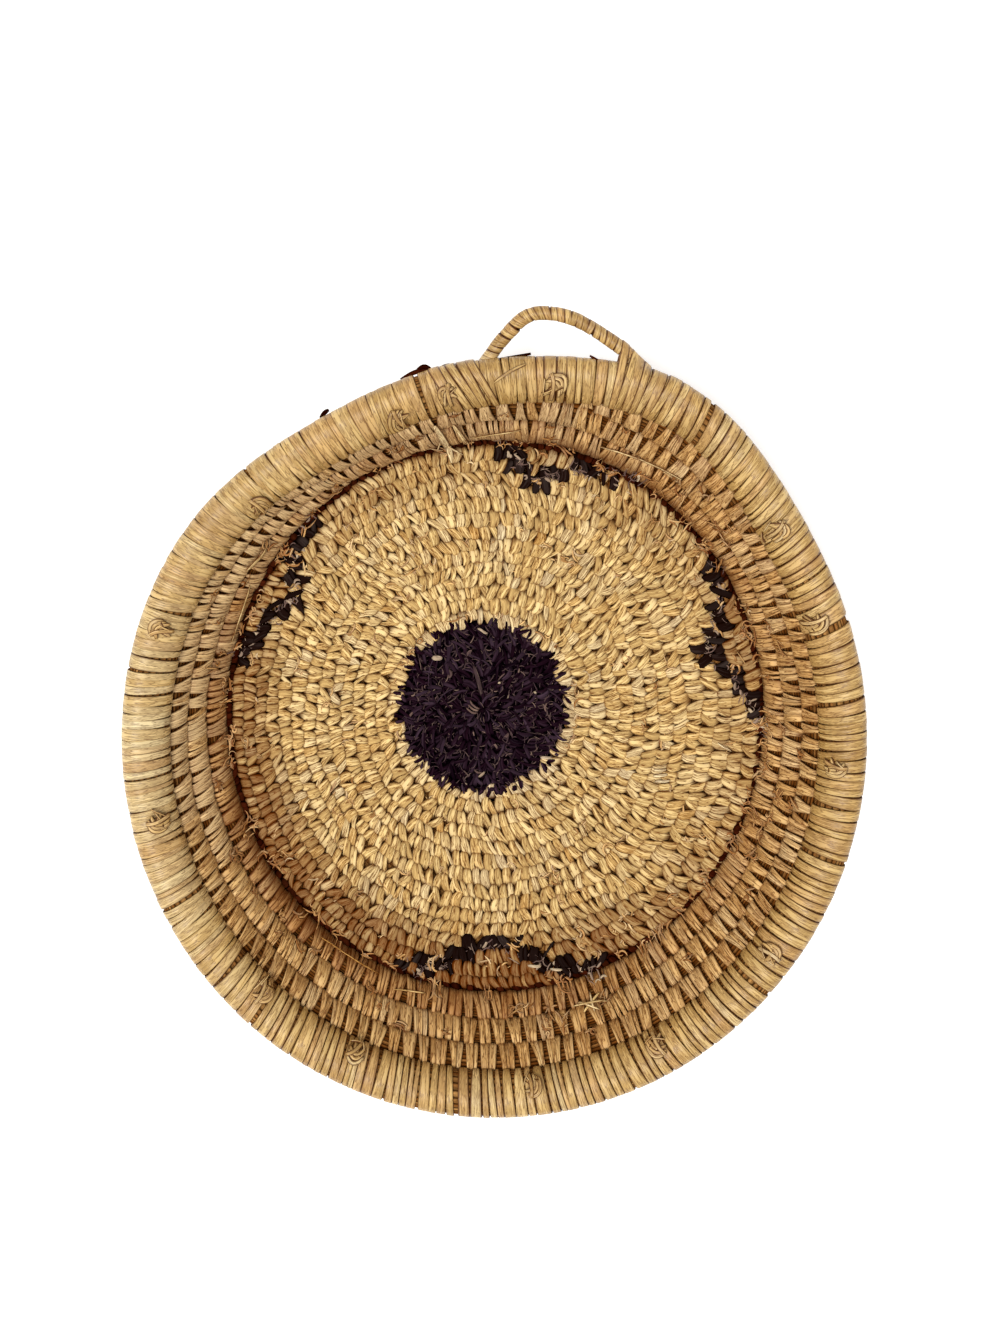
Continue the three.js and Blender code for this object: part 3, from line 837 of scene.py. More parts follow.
@dataclass
class Base:
    """Flat base: one spiral of stitches, dyed in the middle and in four chevrons."""

    dyed: Sewing = Sewing(1.7, 0.95, 2.0, 0.22, dyed=True)
    natural: Sewing = Sewing(3.65, 1.06, 1.0, 0.12)
    chevron: Sewing = Sewing(3.65, 1.06, 1.6, 0.12)
    chevron_half: float = 3.5  # Half thickness of a chevron's legs
    chevron_ragged: float = 0.6  # How far that varies
    chevron_missed: float = 0.03  # Share of natural stitches in the legs
    first_turn: float = 0.3  # Turn at which the stitches start
    wedge: float = 0.5  # Turns over which the dyed row is drawn out
    wedge_tip: float = 0.15  # Turns without a stitch at the natural wedge's tip
    dyed_short: float = 0.06  # Turns without a stitch at the dyed row's end
    outer_from: float = 15.45  # Turn from which the rows are another piece
    split: float = 0.2  # Share of split, narrow stitches
    split_breadth: Range = (0.5, 0.7)  # Their breadths, against the usual one
    whole_breadth: Range = (0.8, 1.25)  # Breadths of the others
    least_radius: float = 2.5  # Radius inside which stitches aren't made any narrower
    turn_radius: float = 5.0  # Radius inside which they aren't turned any more
    heart: float = 0.4  # Least radius of a stitch
    half: float = 0.56  # Half breadth against the breadth, to meet the neighbours
    rise: float = 0.7
    lean: float = 0.2  # Slant of the stitches as a slope
    lean_vary: float = 0.26  # How far it varies by chance
    lean_waves: Waves = ((0.2, 3, 0.11), (0.15, 7, -0.23))  # Its waves over the base
    drawn_in: Range = (0.25, 0.75)  # Length of a stitch in a row without width, and its gain
    length_vary: float = 0.05
    shift_vary: Range = (0.3, 0.6)  # Shift across the row, and more of it at the dye's edge
    dye_edge: Range = (38, 4)  # Radius of that edge, and its spread
    lift_vary: Range = (0.3, 0.6)  # How far stitch tops vary in height, and the most
    top: Range = (3.5, 5.5)  # Heights between which a stitch's top begins
    bow: Range = (0.25, 0.3)  # Bow of the stitches, and how far it varies
    bow_reach: float = 3.0  # Distance across the row at which it is reached
    row_waves: Waves = ((0.5, 5, 0.13), (0.4, 13, -0.21))
    wavers: tuple[Range, Range] = ((15, 40), (98, 108))  # Radii between which they set in, and end
    edge_out: float = 0.6  # Last row over the row in the crease
    edge_waves: Waves = ((0.4, 7, 0), (0.3, 17, 0))  # Waves of its edge
    overlap: float = 1.2  # How much more on one side, and less on the other
    covered: float = 335  # Direction of that side
    slack_turn: float = 0.04  # Turns over which the gap past the spiral's end opens
    slack_span: Range = (70, 110)  # Radii between which the rows spread to fill it
    soil_and_shade: float = 0.35  # Least dirt and painted shade from the wall, on the outer rows
    soiled_and_shaded: Side = Side(238, -0.3, 0.9, 0.65)  # Side with more of it
    rust_and_wall_shade: Fade = Fade(0.82, 85, 103)  # Stain of the outer rows, partly painted shade from the wall
    rust_within: float = 0.3  # Stain between a chevron and the edge
    rust_inside: Fade = Fade(0.1, 44, 36)  # Stain beside the dyed middle
    browner_below: Side = Side(270, 0, 1, 0.07)  # Side that is browner all over
    rust_vary: Range = (0.5, 1.3)  # How far stains vary from stitch to stitch
    rust_chance: float = 0.08  # Most stain of a clean stitch
    rust_most: float = 0.95
    pale_first: Fade = Fade(0.25, 42, 37)  # How much paler the first natural row is
    grime_and_shade: Fade = Fade(0.32, 92, 107)  # How much broader the painted crease shade is on the outer rows, for dirt and painted shade from the wall
    grime_within: float = 0.15  # The same between a chevron and the edge
    bundle: Bundle = Bundle(5, 0.5, 40)  # Grass under the stitches
    bundle_height: Range = (2.4, 1.7)  # Height of its middle, and half thickness
    bundle_over: float = 0.4  # Reach into the rows beside it
    # Radii and heights of the start knot
    button: tuple[Range, ...] = ((3.2, 0.3), (4.0, 1.4), (3.9, 3.6), (2.8, 5.0), (1.2, 5.6))
    button_sides: int = 12  # Sides of that knot
    seed: int = 11
    master: RingMaster = field(init=False)

    def edge(self, angle: Array) -> Array:
        """Radii of the stitches' edge, which lies over the row in the crease more on one side."""
        over = self.edge_out + self.overlap * np.cos(angle - math.radians(self.covered))
        return FORM.fill_radius + over + ripple(angle, 0.0, self.edge_waves)

    def slack(self, angle: Array) -> Array:
        """Gap that the spiral leaves past its end, up to the edge of the stitches.

        Args:
            angle: Directions.

        Returns:
            Breadths of the gap.
        """
        past = (angle / TURN - FORM.coil_phase - FORM.last_turn) % 1
        reached = FORM.start_radius + FORM.base_row * (FORM.last_turn - 1 + past)
        return np.maximum(self.edge(angle) - reached, 0) * smooth(past, 0, self.slack_turn)

    def lane(self, turn: Array, dyed: bool) -> tuple[Array, Array]:
        """Rows of the spiral, which are drawn out where the dye and where the base ends.

        Args:
            turn: Turns from the coil's start.
            dyed: True for the dyed middle.

        Returns:
            Radii of the rows' middles, and the rows' widths as shares of the usual one.
        """
        inner = FORM.start_radius + FORM.base_row * (turn - 1)
        outer = np.minimum(inner + FORM.base_row, self.edge((turn + FORM.coil_phase) * TURN))
        joint = outer - FORM.base_row * smooth(turn, FORM.dyed_turns - self.wedge, FORM.dyed_turns)
        inner, outer = (inner, joint) if dyed else (np.where(turn < FORM.dyed_turns, joint, inner), outer)
        return (inner + outer) / 2, (outer - inner) / FORM.base_row

    def stains_and_shade(self, angle: Array, middle: Array, rng: Chance) -> tuple[Array, Array]:
        """Stains of stitches, dirtier towards the edge and inside the chevrons, with painted shade from the
        wall near the edge.

        Args:
            angle: Their directions.
            middle: Radii of their rows.
            rng: Source of chance.

        Returns:
            Stains from 0 to 1, partly painted shade, and how much broader the painted crease shade is.
        """
        _, within = chevron_places(angle, middle)
        # Near the wall, stain and broader creases are partly dirt and partly painted shade from the wall
        soiled_and_shaded = self.soil_and_shade + self.soiled_and_shaded.share(angle)
        rust_and_shade = self.rust_and_wall_shade.at(middle) * soiled_and_shaded + self.rust_within * within + self.rust_inside.at(middle)
        rust_and_shade = (rust_and_shade + self.browner_below.share(angle)) * rng.uniform(*self.rust_vary, len(angle))
        stain = np.clip(rust_and_shade + self.rust_chance * rng.random(len(angle)), 0, self.rust_most)
        grime_and_shade = 1 + self.grime_and_shade.at(middle) * soiled_and_shaded + self.grime_within * within
        return stain, grime_and_shade

    def stitches(self, turn: Array, broad: Array, sewing: Sewing, rng: Chance) -> Laid:
        """Stitches of a stretch of the spiral.

        Args:
            turn: Turns from the coil's start, one for each stitch.
            broad: Their breadths.
            sewing: How they are sewn.
            rng: Source of chance.

        Returns:
            The stitches, with their shade and stain.
        """
        count, wild = len(turn), sewing.wild
        middle, width = self.lane(turn, sewing.dyed)
        angle = (turn + FORM.coil_phase) * TURN
        across, height, share, tuck = BASE_STITCH.T
        stretch = sewing.stretch + rng.normal(0, self.length_vary * wild, count)
        length = stretch * (self.drawn_in[0] + self.drawn_in[1] * width)
        at_dye = np.abs(middle - self.dye_edge[0]) < self.dye_edge[1]
        shift = rng.normal(0, self.shift_vary[0] * wild + self.shift_vary[1] * at_dye, count)
        vary, most = self.lift_vary
        lift = np.clip(rng.normal(0, vary * wild, count), -most, most)
        raised = height + column(lift) * smooth(height, *self.top)
        path = stacked(across * column(length) + column(shift), raised)
        drift = ripple(angle, middle, self.lean_waves)
        lean = self.lean + drift + rng.normal(0, self.lean_vary * wild**1.5, count)
        bow = column(rng.normal(*self.bow, count))

        def place(sideways: Array, row: Array, depth: Array) -> Array:
            """Points on the spiral, which wavers as a hand lays it."""
            bowed = sideways + bow * (row / self.bow_reach) ** 2
            turned = bowed / column(np.maximum(middle, self.turn_radius))
            around = column(angle) + turned
            radius = column(middle) + row + FORM.base_row * turned / TURN
            begins, ends = self.wavers
            steady = smooth(radius, *begins) * (1 - smooth(radius, *ends))
            radius = radius + ripple(around, radius, self.row_waves) * steady
            radius = radius + self.slack(around) * smooth(radius, *self.slack_span)
            return FORM.base_point(around, np.maximum(radius, self.heart), np.maximum(depth, GROUND))

        tone = shades(rng, count, sewing.spread)
        if not sewing.dyed:
            tone = np.clip(tone + self.pale_first.at(middle), 0, 1)
        stain, grime_and_shade = self.stains_and_shade(angle, middle, rng)
        half = self.half * column(broad) * share
        laid = lay_rings(self.master, path, half, Crown.SOFT, self.rise, lean, tuck, place, tone, stain)
        laid.deepen(grime_and_shade)
        return laid

    def spiral(self, start: float, end: float, sewing: Sewing, rng: Chance) -> tuple[Array, Array]:
        """Places of stitches along the spiral, some of them split and narrow.

        Args:
            start: First turn.
            end: Last turn.
            sewing: How they are sewn.
            rng: Source of chance.

        Returns:
            Turns from the coil's start, and breadths.
        """
        turns, broads, turn = [], [], start
        while turn < end:
            breadths = self.split_breadth if rng.random() < self.split else self.whole_breadth
            broad = sewing.breadth * rng.uniform(*breadths)
            radius = max(FORM.start_radius + FORM.base_row * (turn - 0.5), self.least_radius)
            step = broad / (TURN * radius)
            turns.append(turn + step / 2)
            broads.append(broad)
            turn += step
        return np.array(turns), np.array(broads)

    def build(self) -> None:
        """Makes the base's stitches, the knot that they start at and the bundle under them."""
        self.master = RingMaster(len(BASE_STITCH))
        rng = np.random.default_rng(self.seed)
        turns, broads = self.spiral(self.first_turn, FORM.dyed_turns - self.dyed_short, self.dyed, rng)
        middle = self.stitches(turns, broads, self.dyed, rng)
        add_piece("dyed_middle_stitches", [middle], DYED_PALM, Slot.DYED, ("centre_coil",))
        start = FORM.dyed_turns - self.wedge + self.wedge_tip
        turns, broads = self.spiral(start, FORM.last_turn, self.natural, rng)
        natural = self.stitches(turns, broads, self.natural, rng)
        near, _ = chevron_places((turns + FORM.coil_phase) * TURN, self.lane(turns, False)[0])
        dark = near < self.chevron_half + rng.normal(0, self.chevron_ragged, len(near))
        dark &= rng.random(len(near)) > self.chevron_missed
        inner, outer = (turns < self.outer_from) & ~dark, (turns >= self.outer_from) & ~dark
        add_piece("base_inner_stitches", [natural.pick(inner)], BASE_PALM, Slot.BASE, ("base_coil",))
        add_piece("base_outer_stitches", [natural.pick(outer)], BASE_PALM, Slot.BASE)
        chevrons = self.stitches(turns[dark], broads[dark], self.chevron, rng)
        add_piece("chevron_stitches", [chevrons], CHEVRON_PALM, Slot.DYED)
        self.build_core()

    def build_core(self) -> None:
        """Makes the bundle under the stitches and the knot in the middle."""
        around, dip = self.bundle.around()
        steps = np.arange(0, FORM.last_turn, 1 / self.bundle.steps)
        low = np.clip(FORM.start_radius + FORM.base_row * (steps - 1), 0, FORM.fill_radius)
        high = np.clip(FORM.start_radius + FORM.base_row * steps, 0, FORM.fill_radius)
        half = column(high - low) / 2 + self.bundle_over - dip
        radii = column(high + low) / 2 + half * np.cos(around)
        heights = self.bundle_height[0] + (self.bundle_height[1] - dip) * np.sin(around)
        tube = FORM.base_point(column((steps + FORM.coil_phase) * TURN), np.maximum(radii, 0.01), heights)
        dyed = steps <= FORM.dyed_turns
        add_piece("centre_bundle", [lay_tube(tube[dyed], False)], DYED_PALM, Slot.DYED)
        bundle = lay_tube(tube[~dyed], False)
        bundle.retone(0.6, 0.3)
        bundle.deepen(0.8)
        add_piece("base_bundle", [bundle], GRASS, Slot.GRASS)
        spin = np.arange(self.button_sides) / self.button_sides * TURN
        radius, height = (column(part) for part in np.array(self.button).T)
        button = stacked(radius * np.cos(spin), radius * np.sin(spin), height)
        add_piece("start_knot_button", [lay_tube(button, False)], DYED_PALM, Slot.DYED, ("start_knot",))


@dataclass
class EdgeRow:
    """Thin dyed row in the crease between base and wall."""

    spacing: float = 3.4  # From stitch to stitch
    scatter: float = 0.2  # How far stitches are out of step, against the spacing
    length: float = 0.42  # Length of a stitch, against one of the base
    height: Range = (0.82, 0.12)  # Height of a stitch, against one of the base, and how far it varies
    half: Range = (0.56, 0.08)  # Half breadth of a stitch, against the spacing, and how far it varies
    lean: Range = (0.4, 0.4)  # Slant of the stitches as a slope, and how far it varies
    rise: float = 0.6
    stain: float = 0.5  # Most stain of a stitch
    bundle: Bundle = Bundle(4, 0.3, 120)  # Stems under the stitches
    bundle_half: Range = (5.6, 1.5)  # Half breadth and half thickness of the bundle
    bundle_height: float = 2.0  # Height of its middle
    seed: int = 12

    def build(self) -> None:
        """Makes the row's stitches and the bundle under them."""
        rng = np.random.default_rng(self.seed)
        count = int(TURN * FORM.base_radius / self.spacing)
        angle = (np.arange(count) + rng.uniform(-self.scatter, self.scatter, count)) / count * TURN
        middle = (FORM.fill_radius + FORM.base_radius) / 2
        across, height, share, tuck = BASE_STITCH.T
        tall = column(self.height[0] + rng.normal(0, self.height[1], count))
        path = stacked(self.length * across, height * tall)
        half = self.spacing * column(self.half[0] + rng.normal(0, self.half[1], count)) * share
        lean = rng.normal(*self.lean, count)

        def place(sideways: Array, row: Array, depth: Array) -> Array:
            """Points on the row."""
            return FORM.base_point(column(angle) + sideways / middle, middle + row, np.maximum(depth, GROUND))

        tone, stain = shades(rng, count), self.stain * rng.random(count) ** 2
        master = RingMaster(len(BASE_STITCH))
        laid = lay_rings(master, path, half, Crown.PLUMP, self.rise, lean, tuck, place, tone, stain)
        add_piece("edge_stitches", [laid], MAROON_PALM, Slot.MAROON, ("edge_coil",))
        spin, dip = self.bundle.around()
        radii = middle + (self.bundle_half[0] - dip) * np.cos(spin)
        heights = self.bundle_height + (self.bundle_half[1] - dip) * np.sin(spin)
        tube = FORM.base_point(column(self.bundle.turn()), radii, heights)
        add_piece("edge_bundle", [lay_tube(tube, True)], MAROON_PALM, Slot.MAROON)


@dataclass
class Wall:
    """Flared wall: rows of broad stitches over a thick bundle, one less beside the loop."""

    holes: int = 500  # Holes drawn, more than there is room for
    pitch: float = 6.4  # From hole to hole, each with a fan of one to four strips
    pitch_vary: Range = (0.75, 1.3)  # How far that varies
    fans: tuple[float, ...] = (0.1, 0.45, 0.35, 0.1)  # Shares of fans of one to four strips
    least_row: Range = (0.4, 0.35)  # Lowest rows that are sewn, and filled, in rows
    half: Range = (0.55, 3.6)  # Half breadth against a strip's share of the hole, and the most
    drawn: Range = (0.5, 0.92)  # Breadth of a fan's narrow end against its broad one
    # How much a strip keeps of that, and where it narrows, in half rows
    fan_taper: tuple[float, Range] = (1.05, (-0.6, 1.1))
    fan_height: float = 2.1  # Height over which a fan draws together, in half rows
    place_vary: float = 0.15  # How far strips are out of step
    across_vary: float = 0.35  # How far they are shifted across the row
    depth_vary: float = 0.2  # How far their depth varies
    foot_drop: Range = (0.8, 0.5)  # Lowest row's further reach down, and where it ends, in rows
    foot_end: float = -0.7  # Where a stitch's lower end begins, in half rows
    lean: float = 0.08  # Slant of the stitches as a slope
    lean_vary: Range = (0.06, 0.03)  # How far it varies from fan to fan, and in a fan
    rise: float = 0.45
    shade_vary: Range = (0.12, 0.08)  # How far shades vary from fan to fan, and in a fan
    palest: float = 0.8
    pale: Side = Side(140, 0.1, 0.9, 0.35)  # Side that is paler, as painted light; the lowest row by half as much
    pale_rows: Range = (0, 0.8)  # Rows between which it becomes so
    loop_side_light: Side = Side(90, 0.5, 1, 0.1)  # Side beside the loop that is paler, as painted light
    soil_and_shade: float = 0.3  # Least dirt and painted shade of the lowest row
    soiled_and_shaded: Side = Side(225, -0.2, 0.8, 0.7)  # Side with more of it
    soil_and_shade_stain: float = 0.45  # Stain that the dirt and painted shade give
    soil_and_shade_creases: float = 0.2  # How much broader they make the painted crease shade
    # Sides that are browner
    browner_sides: tuple[Side, ...] = (Side(270, 0, 1, 0.12), Side(15, 0.4, 1, 0.14), Side(90, 0.5, 1, 0.16))
    stain_vary: Range = (-0.1, 0.2)  # Stain of single fans
    most_stain: float = 0.9
    # Sides on which the lowest row's foot gets painted shade, like the crease's shadow
    painted_shade_sides: tuple[Side, ...] = (Side(58, 0.75, 0.95, 0.7), Side(216, 0.8, 0.97, 0.7))
    shade_rows: float = 0.3  # Rows in which that ends
    shade_foot: Range = (-0.4, 0.8)  # Where it ends on a stitch, in half rows
    bundle: Bundle = Bundle(28, 0.4, 90)  # Grass under the stitches
    bundle_turns: Range = (0.03, 0.04)  # Turns at its start, and past the last row
    bundle_over: float = 0.2  # Reach into the rows beside it
    bundle_sunk: float = 0.7  # How far it lies under the stitches
    rim_rows: Range = (0.75, 0.5)  # Rows below the rim where it starts to reach up, and does in full
    rim_reach: float = 2.6  # How far it reaches into the rim
    seed: int = 13

    def build(self) -> None:
        """Makes the wall's stitches and the bundle under them."""
        rng = np.random.default_rng(self.seed)
        pitch = self.pitch * rng.uniform(*self.pitch_vary, self.holes)
        number = rng.choice(np.arange(len(self.fans)) + 1, self.holes, p=self.fans)
        turns = (np.cumsum(pitch) - pitch / 2) / (TURN * FORM.wall_radius)
        lower, upper = FORM.wall_joints(turns)
        room = turns < FORM.wall_rows + FORM.wall_wedge_span / 360
        kept = room & (upper - lower > self.least_row[0])
        fan = np.repeat(np.flatnonzero(kept), number[kept])
        order = np.concatenate([np.arange(n) for n in number[kept]])
        count = len(fan)
        lower, upper, breadth = lower[fan], upper[fan], (pitch / number)[fan]
        offset = (order - (number[fan] - 1) / 2) * breadth + rng.normal(0, self.place_vary, count)
        direction = math.radians(FORM.wall_step_at) + turns[fan] * TURN
        drawn = rng.uniform(*self.drawn, self.holes)[fan]
        half_row = (upper - lower) * FORM.wall_frame(direction)[3] / 2
        centre = (upper + lower) / (upper - lower) * half_row
        radius = np.linalg.norm(FORM.wall_point(direction, centre, 0 * centre)[:, :2], axis=1)
        angle = direction + offset * (1 + drawn) / 2 / radius
        lean = self.lean + rng.normal(0, self.lean_vary[0], self.holes)[fan]
        lean = lean + rng.normal(0, self.lean_vary[1], count)
        lean = lean - offset * (1 - drawn) / (self.fan_height * half_row)
        across, depth, share, tuck = WALL_STITCH.T
        shift = rng.normal(0, self.across_vary, count)
        drop = self.foot_drop[0] * (1 - smooth(lower, 0, self.foot_drop[1]))
        thick = FORM.wall_half_depth * np.sqrt(upper - lower) + rng.normal(0, self.depth_vary, count)
        climb = across * column(half_row) + column(shift) - column(drop) * (across < self.foot_end)
        path = stacked(climb, depth * column(thick))
        keeps, narrows = self.fan_taper
        taper = 1 - column(1 - keeps * drawn) * smooth(across, *narrows)
        half = column(np.minimum(self.half[0] * breadth, self.half[1])) * share * taper

        def place(sideways: Array, row: Array, deep: Array) -> Array:
            """Points on the coil."""
            points = FORM.wall_point(column(angle) + sideways / column(radius), column(centre) + row, deep)
            points[..., 2] = np.maximum(points[..., 2], GROUND)
            return points

        # Painted light: paler on the upper left and beside the loop
        pale = self.pale.share(direction) * (1 + smooth(lower, *self.pale_rows)) / 2
        pale = pale + self.loop_side_light.share(direction)
        single = shades(rng, self.holes, self.shade_vary[0])[fan] + rng.normal(0, self.shade_vary[1], count)
        tone = np.clip(single + pale, 0, self.palest)
        # Dirt and painted shade on the lowest row, most on the lower left
        lowest = 1 - smooth(lower, 0, 1)
        soiled_and_shaded = (self.soil_and_shade + self.soiled_and_shaded.share(direction)) * lowest
        browner_sides = sum(side.share(direction) for side in self.browner_sides)
        stain = rng.uniform(*self.stain_vary, self.holes)[fan] + browner_sides + self.soil_and_shade_stain * soiled_and_shaded
        stain = np.clip(stain, 0, self.most_stain)
        master = RingMaster(len(WALL_STITCH))
        laid = lay_rings(master, path, half, Crown.FLAT, self.rise, lean, tuck, place, tone, stain)
        laid.deepen(1 + self.soil_and_shade_creases * soiled_and_shaded)
        # Painted shade at the foot of the lowest row, given through its tuck value
        dark = sum(side.share(direction) for side in self.painted_shade_sides) * (1 - smooth(lower, 0, self.shade_rows))
        foot = column(dark) * (1 - smooth(across[master.station], *self.shade_foot))
        laid.values["dive"] = np.maximum(laid.values["dive"], foot)
        add_piece("wall_stitches", [laid], WALL_PALM, Slot.WALL, ("wall_coil",))
        self.build_core()

    def build_core(self) -> None:
        """Makes the bundle under the stitches, whose highest row reaches up into the rim."""
        start, past = self.bundle_turns
        steps = np.arange(start, FORM.wall_rows + past, 1 / self.bundle.steps)
        low, high = FORM.wall_joints(steps)
        steps, low, high = (part[high - low > self.least_row[1]] for part in (steps, low, high))
        turned = math.radians(FORM.wall_step_at) + steps * TURN
        size = FORM.wall_frame(turned)[3]
        spin, dip = self.bundle.around()
        half_row = column((high - low) * size / 2) + self.bundle_over - dip
        begins, full = self.rim_rows
        below_rim = smooth(high, FORM.wall_rows - begins, FORM.wall_rows - full)
        under_rim = below_rim * (self.rim_reach + (FORM.wall_rows - high) * size)
        climb = column((low + high) / 2 * size) + half_row * np.cos(spin)
        climb = climb + column(under_rim) * np.maximum(np.cos(spin), 0)
        thick = FORM.wall_half_depth * np.sqrt(high - low) - self.bundle_sunk
        tube = FORM.wall_point(column(turned) + 0 * climb, climb, (column(thick) - dip) * np.sin(spin))
        bundle = lay_tube(tube, False)
        bundle.retone(0.3, 0.45)
        add_piece("wall_bundle", [bundle], GRASS, Slot.GRASS)


@dataclass
class Loop:
    """Line of the hanging loop's cord, in millimetres."""

    reach: float = 17.0  # From the rim's outermost line to the cord's middle at its apex
    rise: float = 4.0  # The apex above the middle of the rim
    sunk: float = 6.83  # Ends of the cord inside the rim's outermost line
    cord: float = 2.75
    # Points of the line: direction, distance out and height as shares of reach and rise
    ways: tuple[tuple[float, float, float], ...] = (
        (90.8, 0.0, 0.0), (88.23, 0.5, 0.4), (84.95, 0.96, 1.0), (79.5, 0.88, 1.0),
        (72.5, 0.34, 0.4), (69.0, 0.0, 0.0),
    )
    ends: Range = (92.8, 62.0)  # Directions of both sunk ends
    steps: tuple[int, int] = (40, 300)  # Steps from way to way, and along the whole line
    line: Array = field(init=False)  # Points of the line, evenly spaced
    length: float = field(init=False)

    def __post_init__(self) -> None:
        """Draws the cord's line through its ways."""
        a, b = FORM.rim_section
        limb = math.hypot(a * math.cos(FORM.rim_lean), b * math.sin(FORM.rim_lean))
        places = [(at, out * self.reach, up * self.rise) for at, out, up in self.ways]
        places = [(self.ends[0], -self.sunk, 0.0), *places, (self.ends[1], -self.sunk, 0.0)]
        knots = np.array([FORM.rim_point(math.radians(at), limb + out, up) for at, out, up in places])
        knots = np.concatenate([2 * knots[:1] - knots[1:2], knots, 2 * knots[-1:] - knots[-2:-1]])
        t = column(np.linspace(0, 1, self.steps[0], endpoint=False))
        parts = []
        for p, q, r, s in zip(knots, knots[1:], knots[2:], knots[3:]):
            bend = (2 * p - 5 * q + 4 * r - s) * t**2 + (3 * q - p - 3 * r + s) * t**3
            parts.append(0.5 * (2 * q + (r - p) * t + bend))
        line = np.concatenate(parts)
        reach = np.concatenate([[0], np.cumsum(np.linalg.norm(np.diff(line, axis=0), axis=1))])
        even = np.linspace(0, reach[-1], self.steps[1])
        self.line = np.stack([np.interp(even, reach, line[:, i]) for i in range(3)], -1)
        self.length = float(reach[-1])

    def point(self, along: Array, side: Array, up: Array) -> Array:
        """Points beside the cord's middle.

        Args:
            along: Distances along the cord.
            side: Distances sideways, away from the bowl's outside.
            up: Distances upwards.

        Returns:
            Points.
        """
        ahead = np.gradient(self.line, axis=0)
        ahead /= np.linalg.norm(ahead, axis=1, keepdims=True)
        beside = np.cross(ahead, [0, 0, 1])
        beside /= np.linalg.norm(beside, axis=1, keepdims=True)
        above = np.cross(beside, ahead)
        at = np.clip(along / self.length, 0, 1) * (len(self.line) - 1)

        def read(table: Array) -> Array:
            """Row of a table at each place along the cord."""
            return np.stack([np.interp(at, np.arange(len(table)), table[:, i]) for i in range(3)], -1)

        return read(self.line) + read(beside) * side[..., None] + read(above) * up[..., None]


@dataclass(frozen=True)
class Lashing:
    """Wraps that bind one foot of the loop to the rim."""

    side: str  # Which foot
    places: tuple[float, ...]  # Directions of the wraps
    half: float
    slant: float  # Slant of the wraps, as a slope along the rim


